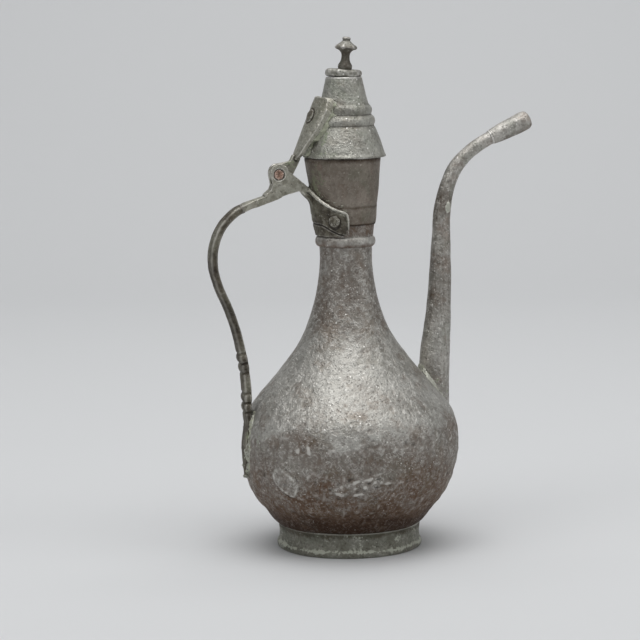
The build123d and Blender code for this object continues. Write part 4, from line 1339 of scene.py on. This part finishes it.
CRUMBS = [  # name, host, body, finish, slot, most mm across, and how thickly by place
    ("spout_solder_crumbs", "spout_solder_band", "ewer", SOFT_SOLDER, "soft_solder", 0.6,
     lambda x, y, z: max(0.0, lumps((x, y, z), 5, 241))),
    ("leaf_solder_crumbs", "handle_solder_lumps", "ewer", SOFT_SOLDER, "soft_solder", 0.7,
     lambda x, y, z: 1.5 * max(0.0, lumps((x, y, z), 5, 243))),
    ("strap_solder_crumbs", "strap_solder_bed", "lid", SOFT_SOLDER, "soft_solder", 0.55,
     lambda x, y, z: max(0.0, lumps((x, y, z), 4, 245))),
    ("foot_crust_crumbs", "foot_ring_turned", "ewer", FOOT_METAL, "patinated_foot", 0.5,
     lambda x, y, z: max(0.0, lumps((x, y, z), 6, 247)) * bell(z - 4.0, 1.0) * (math.hypot(x, y) > 45.4)),
    ("wing_solder_crumbs", "mouth_collar_lapped", "ewer", CAST_BRONZE, "cast_bronze", 0.9,
     lambda x, y, z: 1.6 * bell(off_wing(x, y, z) - 1.8, 1.8) * (math.hypot(x, y) > 20.5)),
]


def crumbs(tree, name, host, finish, largest, rule):
    """Lumps grown over a host piece where a rule of (x, y, z) says, as a piece of its own."""
    mesh = bpy.data.objects[host].data.copy()
    store(mesh, "spread", [rule(*place) for place in coordinates(mesh) / MM])
    return grown(name, mesh, tree, {"Density": CRUMB_DENSITY, "Smallest": CRUMB_SMALLEST * MM,
                                    "Largest": largest * MM, "Seed": 4.0, "Finish": finish})


# The studio

CAMERA_FOCAL = 2540.0  # in points of a picture that is 640 points wide
PICTURE_WIDTH = 640.0
SENSOR = 36.0
CAMERA_BACK = 1634.0
CAMERA_HEIGHT = 369.0
CAMERA_TURN = math.radians(15.0)  # the camera stands this far towards the handle's side
CAMERA_PITCH = math.radians(7.7)
CAMERA_YAW = math.radians(0.608)
CAMERA_ROLL = math.radians(0.8)
CAMERA_REACH = 20.0  # metres, to beyond the paper

# The paper sweep in metres: how far it comes forward and goes back, its height, its bend, half its width.
PAPER_FRONT, PAPER_DEPTH, PAPER_RISE, PAPER_BEND, PAPER_HALF = 9.0, 2.2, 3.2, 0.9, 8.0
PAPER_STEPS = 15  # of its bend
LAMPS = [  # name, place, aim and size in metres, and watts
    ("soft_box_above", (-0.1, -0.45, 2.1), (0, 0, 0.15), (1.9, 1.9), 31),
    ("soft_box_right", (1.9, -1.3, 1.1), (0, 0, 0.15), (1.3, 1.6), 9.5),
    ("soft_box_left", (-2.1, -1.0, 1.4), (0, 0, 0.15), (1.3, 1.6), 9),
    ("paper_wash", (0.3, 0.9, 2.4), (0.5, 2.0, 0.4), (2.4, 0.8), 17),
]
ROOM_STRENGTH = 0.33


def camera():
    """The camera of the photograph: far off and a little above, looking slightly down."""
    data = bpy.data.cameras.new("camera")
    data.sensor_width = SENSOR
    data.lens = CAMERA_FOCAL / PICTURE_WIDTH * SENSOR
    data.clip_end = CAMERA_REACH
    eye = new_piece("camera", data)
    place = Vector((-CAMERA_BACK * math.sin(CAMERA_TURN), -CAMERA_BACK * math.cos(CAMERA_TURN),
                    CAMERA_HEIGHT)) * MM
    heading = Matrix.Rotation(CAMERA_YAW - CAMERA_TURN, 4, "Z")
    level = heading @ Matrix.Rotation(math.pi / 2 - CAMERA_PITCH, 4, "X")
    eye.matrix_world = Matrix.Translation(place) @ level @ Matrix.Rotation(-CAMERA_ROLL, 4, "Z")
    bpy.context.scene.camera = eye


def lamp(name, place, aim, size, power):
    """A rectangular soft box."""
    data = bpy.data.lights.new(name, "AREA")
    data.shape = "RECTANGLE"
    data.size, data.size_y = size
    data.energy = power
    turn = (Vector(aim) - Vector(place)).to_track_quat("-Z", "Y").to_matrix().to_4x4()
    new_piece(name, data).matrix_world = Matrix.Translation(place) @ turn


def studio():
    """A sweep of pale paper, a broad soft box above, a weak one on each side and a wash on the paper."""
    forward = Vector((math.sin(CAMERA_TURN), math.cos(CAMERA_TURN), 0))
    side = Vector((forward.y, -forward.x, 0))
    flat = PAPER_DEPTH - PAPER_BEND
    line = [(-PAPER_FRONT, 0.0), (flat, 0.0)]
    for k in range(1, PAPER_STEPS + 1):
        angle = math.radians(90 * k / PAPER_STEPS)
        line.append((flat + PAPER_BEND * math.sin(angle), PAPER_BEND - PAPER_BEND * math.cos(angle)))
    line.append((PAPER_DEPTH, PAPER_RISE))
    points = []
    for away, up in line:
        for reach in (-PAPER_HALF, PAPER_HALF):
            points.append(forward * away + side * reach + Vector((0, 0, up)))
    faces = [(2 * k, 2 * k + 1, 2 * k + 3, 2 * k + 2) for k in range(len(line) - 1)]
    mesh = bpy.data.meshes.new("paper_sweep")
    mesh.from_pydata(points, [], faces)
    mesh.shade_smooth()
    # Matt studio paper: one pale grey, without gloss.
    paper = bpy.data.materials.new("studio_paper")
    paper.use_nodes = True
    paper.node_tree.nodes.clear()
    surface = add(paper.node_tree, "ShaderNodeBsdfPrincipled",
                  {"Base Color": colour("#cfd0d1"), "Roughness": 0.9})
    add(paper.node_tree, "ShaderNodeOutputMaterial", {"Surface": surface})
    mesh.materials.append(paper)
    new_piece("paper_sweep", mesh)
    for row in LAMPS:
        lamp(*row)
    world = bpy.data.worlds.new("room")
    bpy.context.scene.world = world
    world.use_nodes = True
    background = world.node_tree.nodes["Background"]
    background.inputs["Color"].default_value = colour("#dcdee0")
    background.inputs["Strength"].default_value = ROOM_STRENGTH
    bpy.context.scene.view_settings.view_transform = "Standard"


def coat(piece, finish):
    """Gives a piece one finish."""
    piece.data.materials.clear()
    piece.data.materials.append(finish)


def dress(piece, body, finish, slot, *nodes):
    """Gives a piece its finish, lets it ride on its body, and lets it stand for its nodes. The slot is not
    used.
    """
    if finish:
        coat(piece, finish)
    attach(piece, body)
    if nodes:
        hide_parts(*nodes)


camera()
studio()

bowl, shoulder = body_pieces()
dress(bowl, "ewer", TINNED_BODY, "tinned_copper", "belly_bowl")
dress(shoulder, "ewer", TINNED_BODY, "tinned_copper", "shoulder_neck")
dress(foot_ring(), "ewer", FOOT_METAL, "patinated_foot", "foot_ring")
dress(mouth_collar(), "ewer", COLLAR_METAL, "tinned_copper", "mouth_collar")
dress(spout_tube(), "ewer", SPOUT_METAL, "tinned_copper", "spout_tube")
dress(spout_nozzle(), "ewer", SPOUT_METAL, "cast_bronze", "spout_nozzle")
dress(spout_solder(), "ewer", SOFT_SOLDER, "soft_solder", "spout_solder_seam")
dress(spout_mend(), "ewer", SOFT_SOLDER, "soft_solder")
dress(handle_bar(), "ewer", CAST_BRONZE, "cast_bronze", "handle_bar")
dress(leaf_solder(), "ewer", SOFT_SOLDER, "soft_solder", "handle_solder_pad")
dress(handle_yoke(), "ewer", CAST_BRONZE, "cast_bronze", "handle_yoke")
dress(hinge_pin(), "ewer", RIVET_COPPER, "copper_rivet", "hinge_pin")
dress(lid_cone(), "lid", TINNED_LID, "tinned_lid", "lid_cone")
dress(lid_top_disc(), "lid", TINNED_LID, "tinned_lid", "lid_top_disc")
dress(finial(), "lid", TINNED_LID, "tinned_lid", "finial")
dress(hinge_strap(), "lid", CAST_BRONZE, "cast_bronze", "hinge_strap")
dress(strap_solder(), "lid", SOFT_SOLDER, "soft_solder", "strap_solder")
coat(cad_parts["foot_solder_seam"], SOFT_SOLDER)
coat(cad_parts["lid_bezel"], TINNED_LID)
coat(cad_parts["finial_rove"], TINNED_LID)

heads, scatter = rivet_tree(), crumb_tree()
dress(yoke_rivets(heads), "ewer", None, "copper_rivet", "yoke_rivets")
dress(strap_rivet(heads), "lid", None, "copper_rivet", "strap_rivet")
dress(neck_ring(ring_tree()), "ewer", None, "tinned_copper", "neck_ring")
for name, host, body, finish, slot, largest, rule in CRUMBS:
    dress(crumbs(scatter, name, host, finish, largest, rule), body, None, slot)
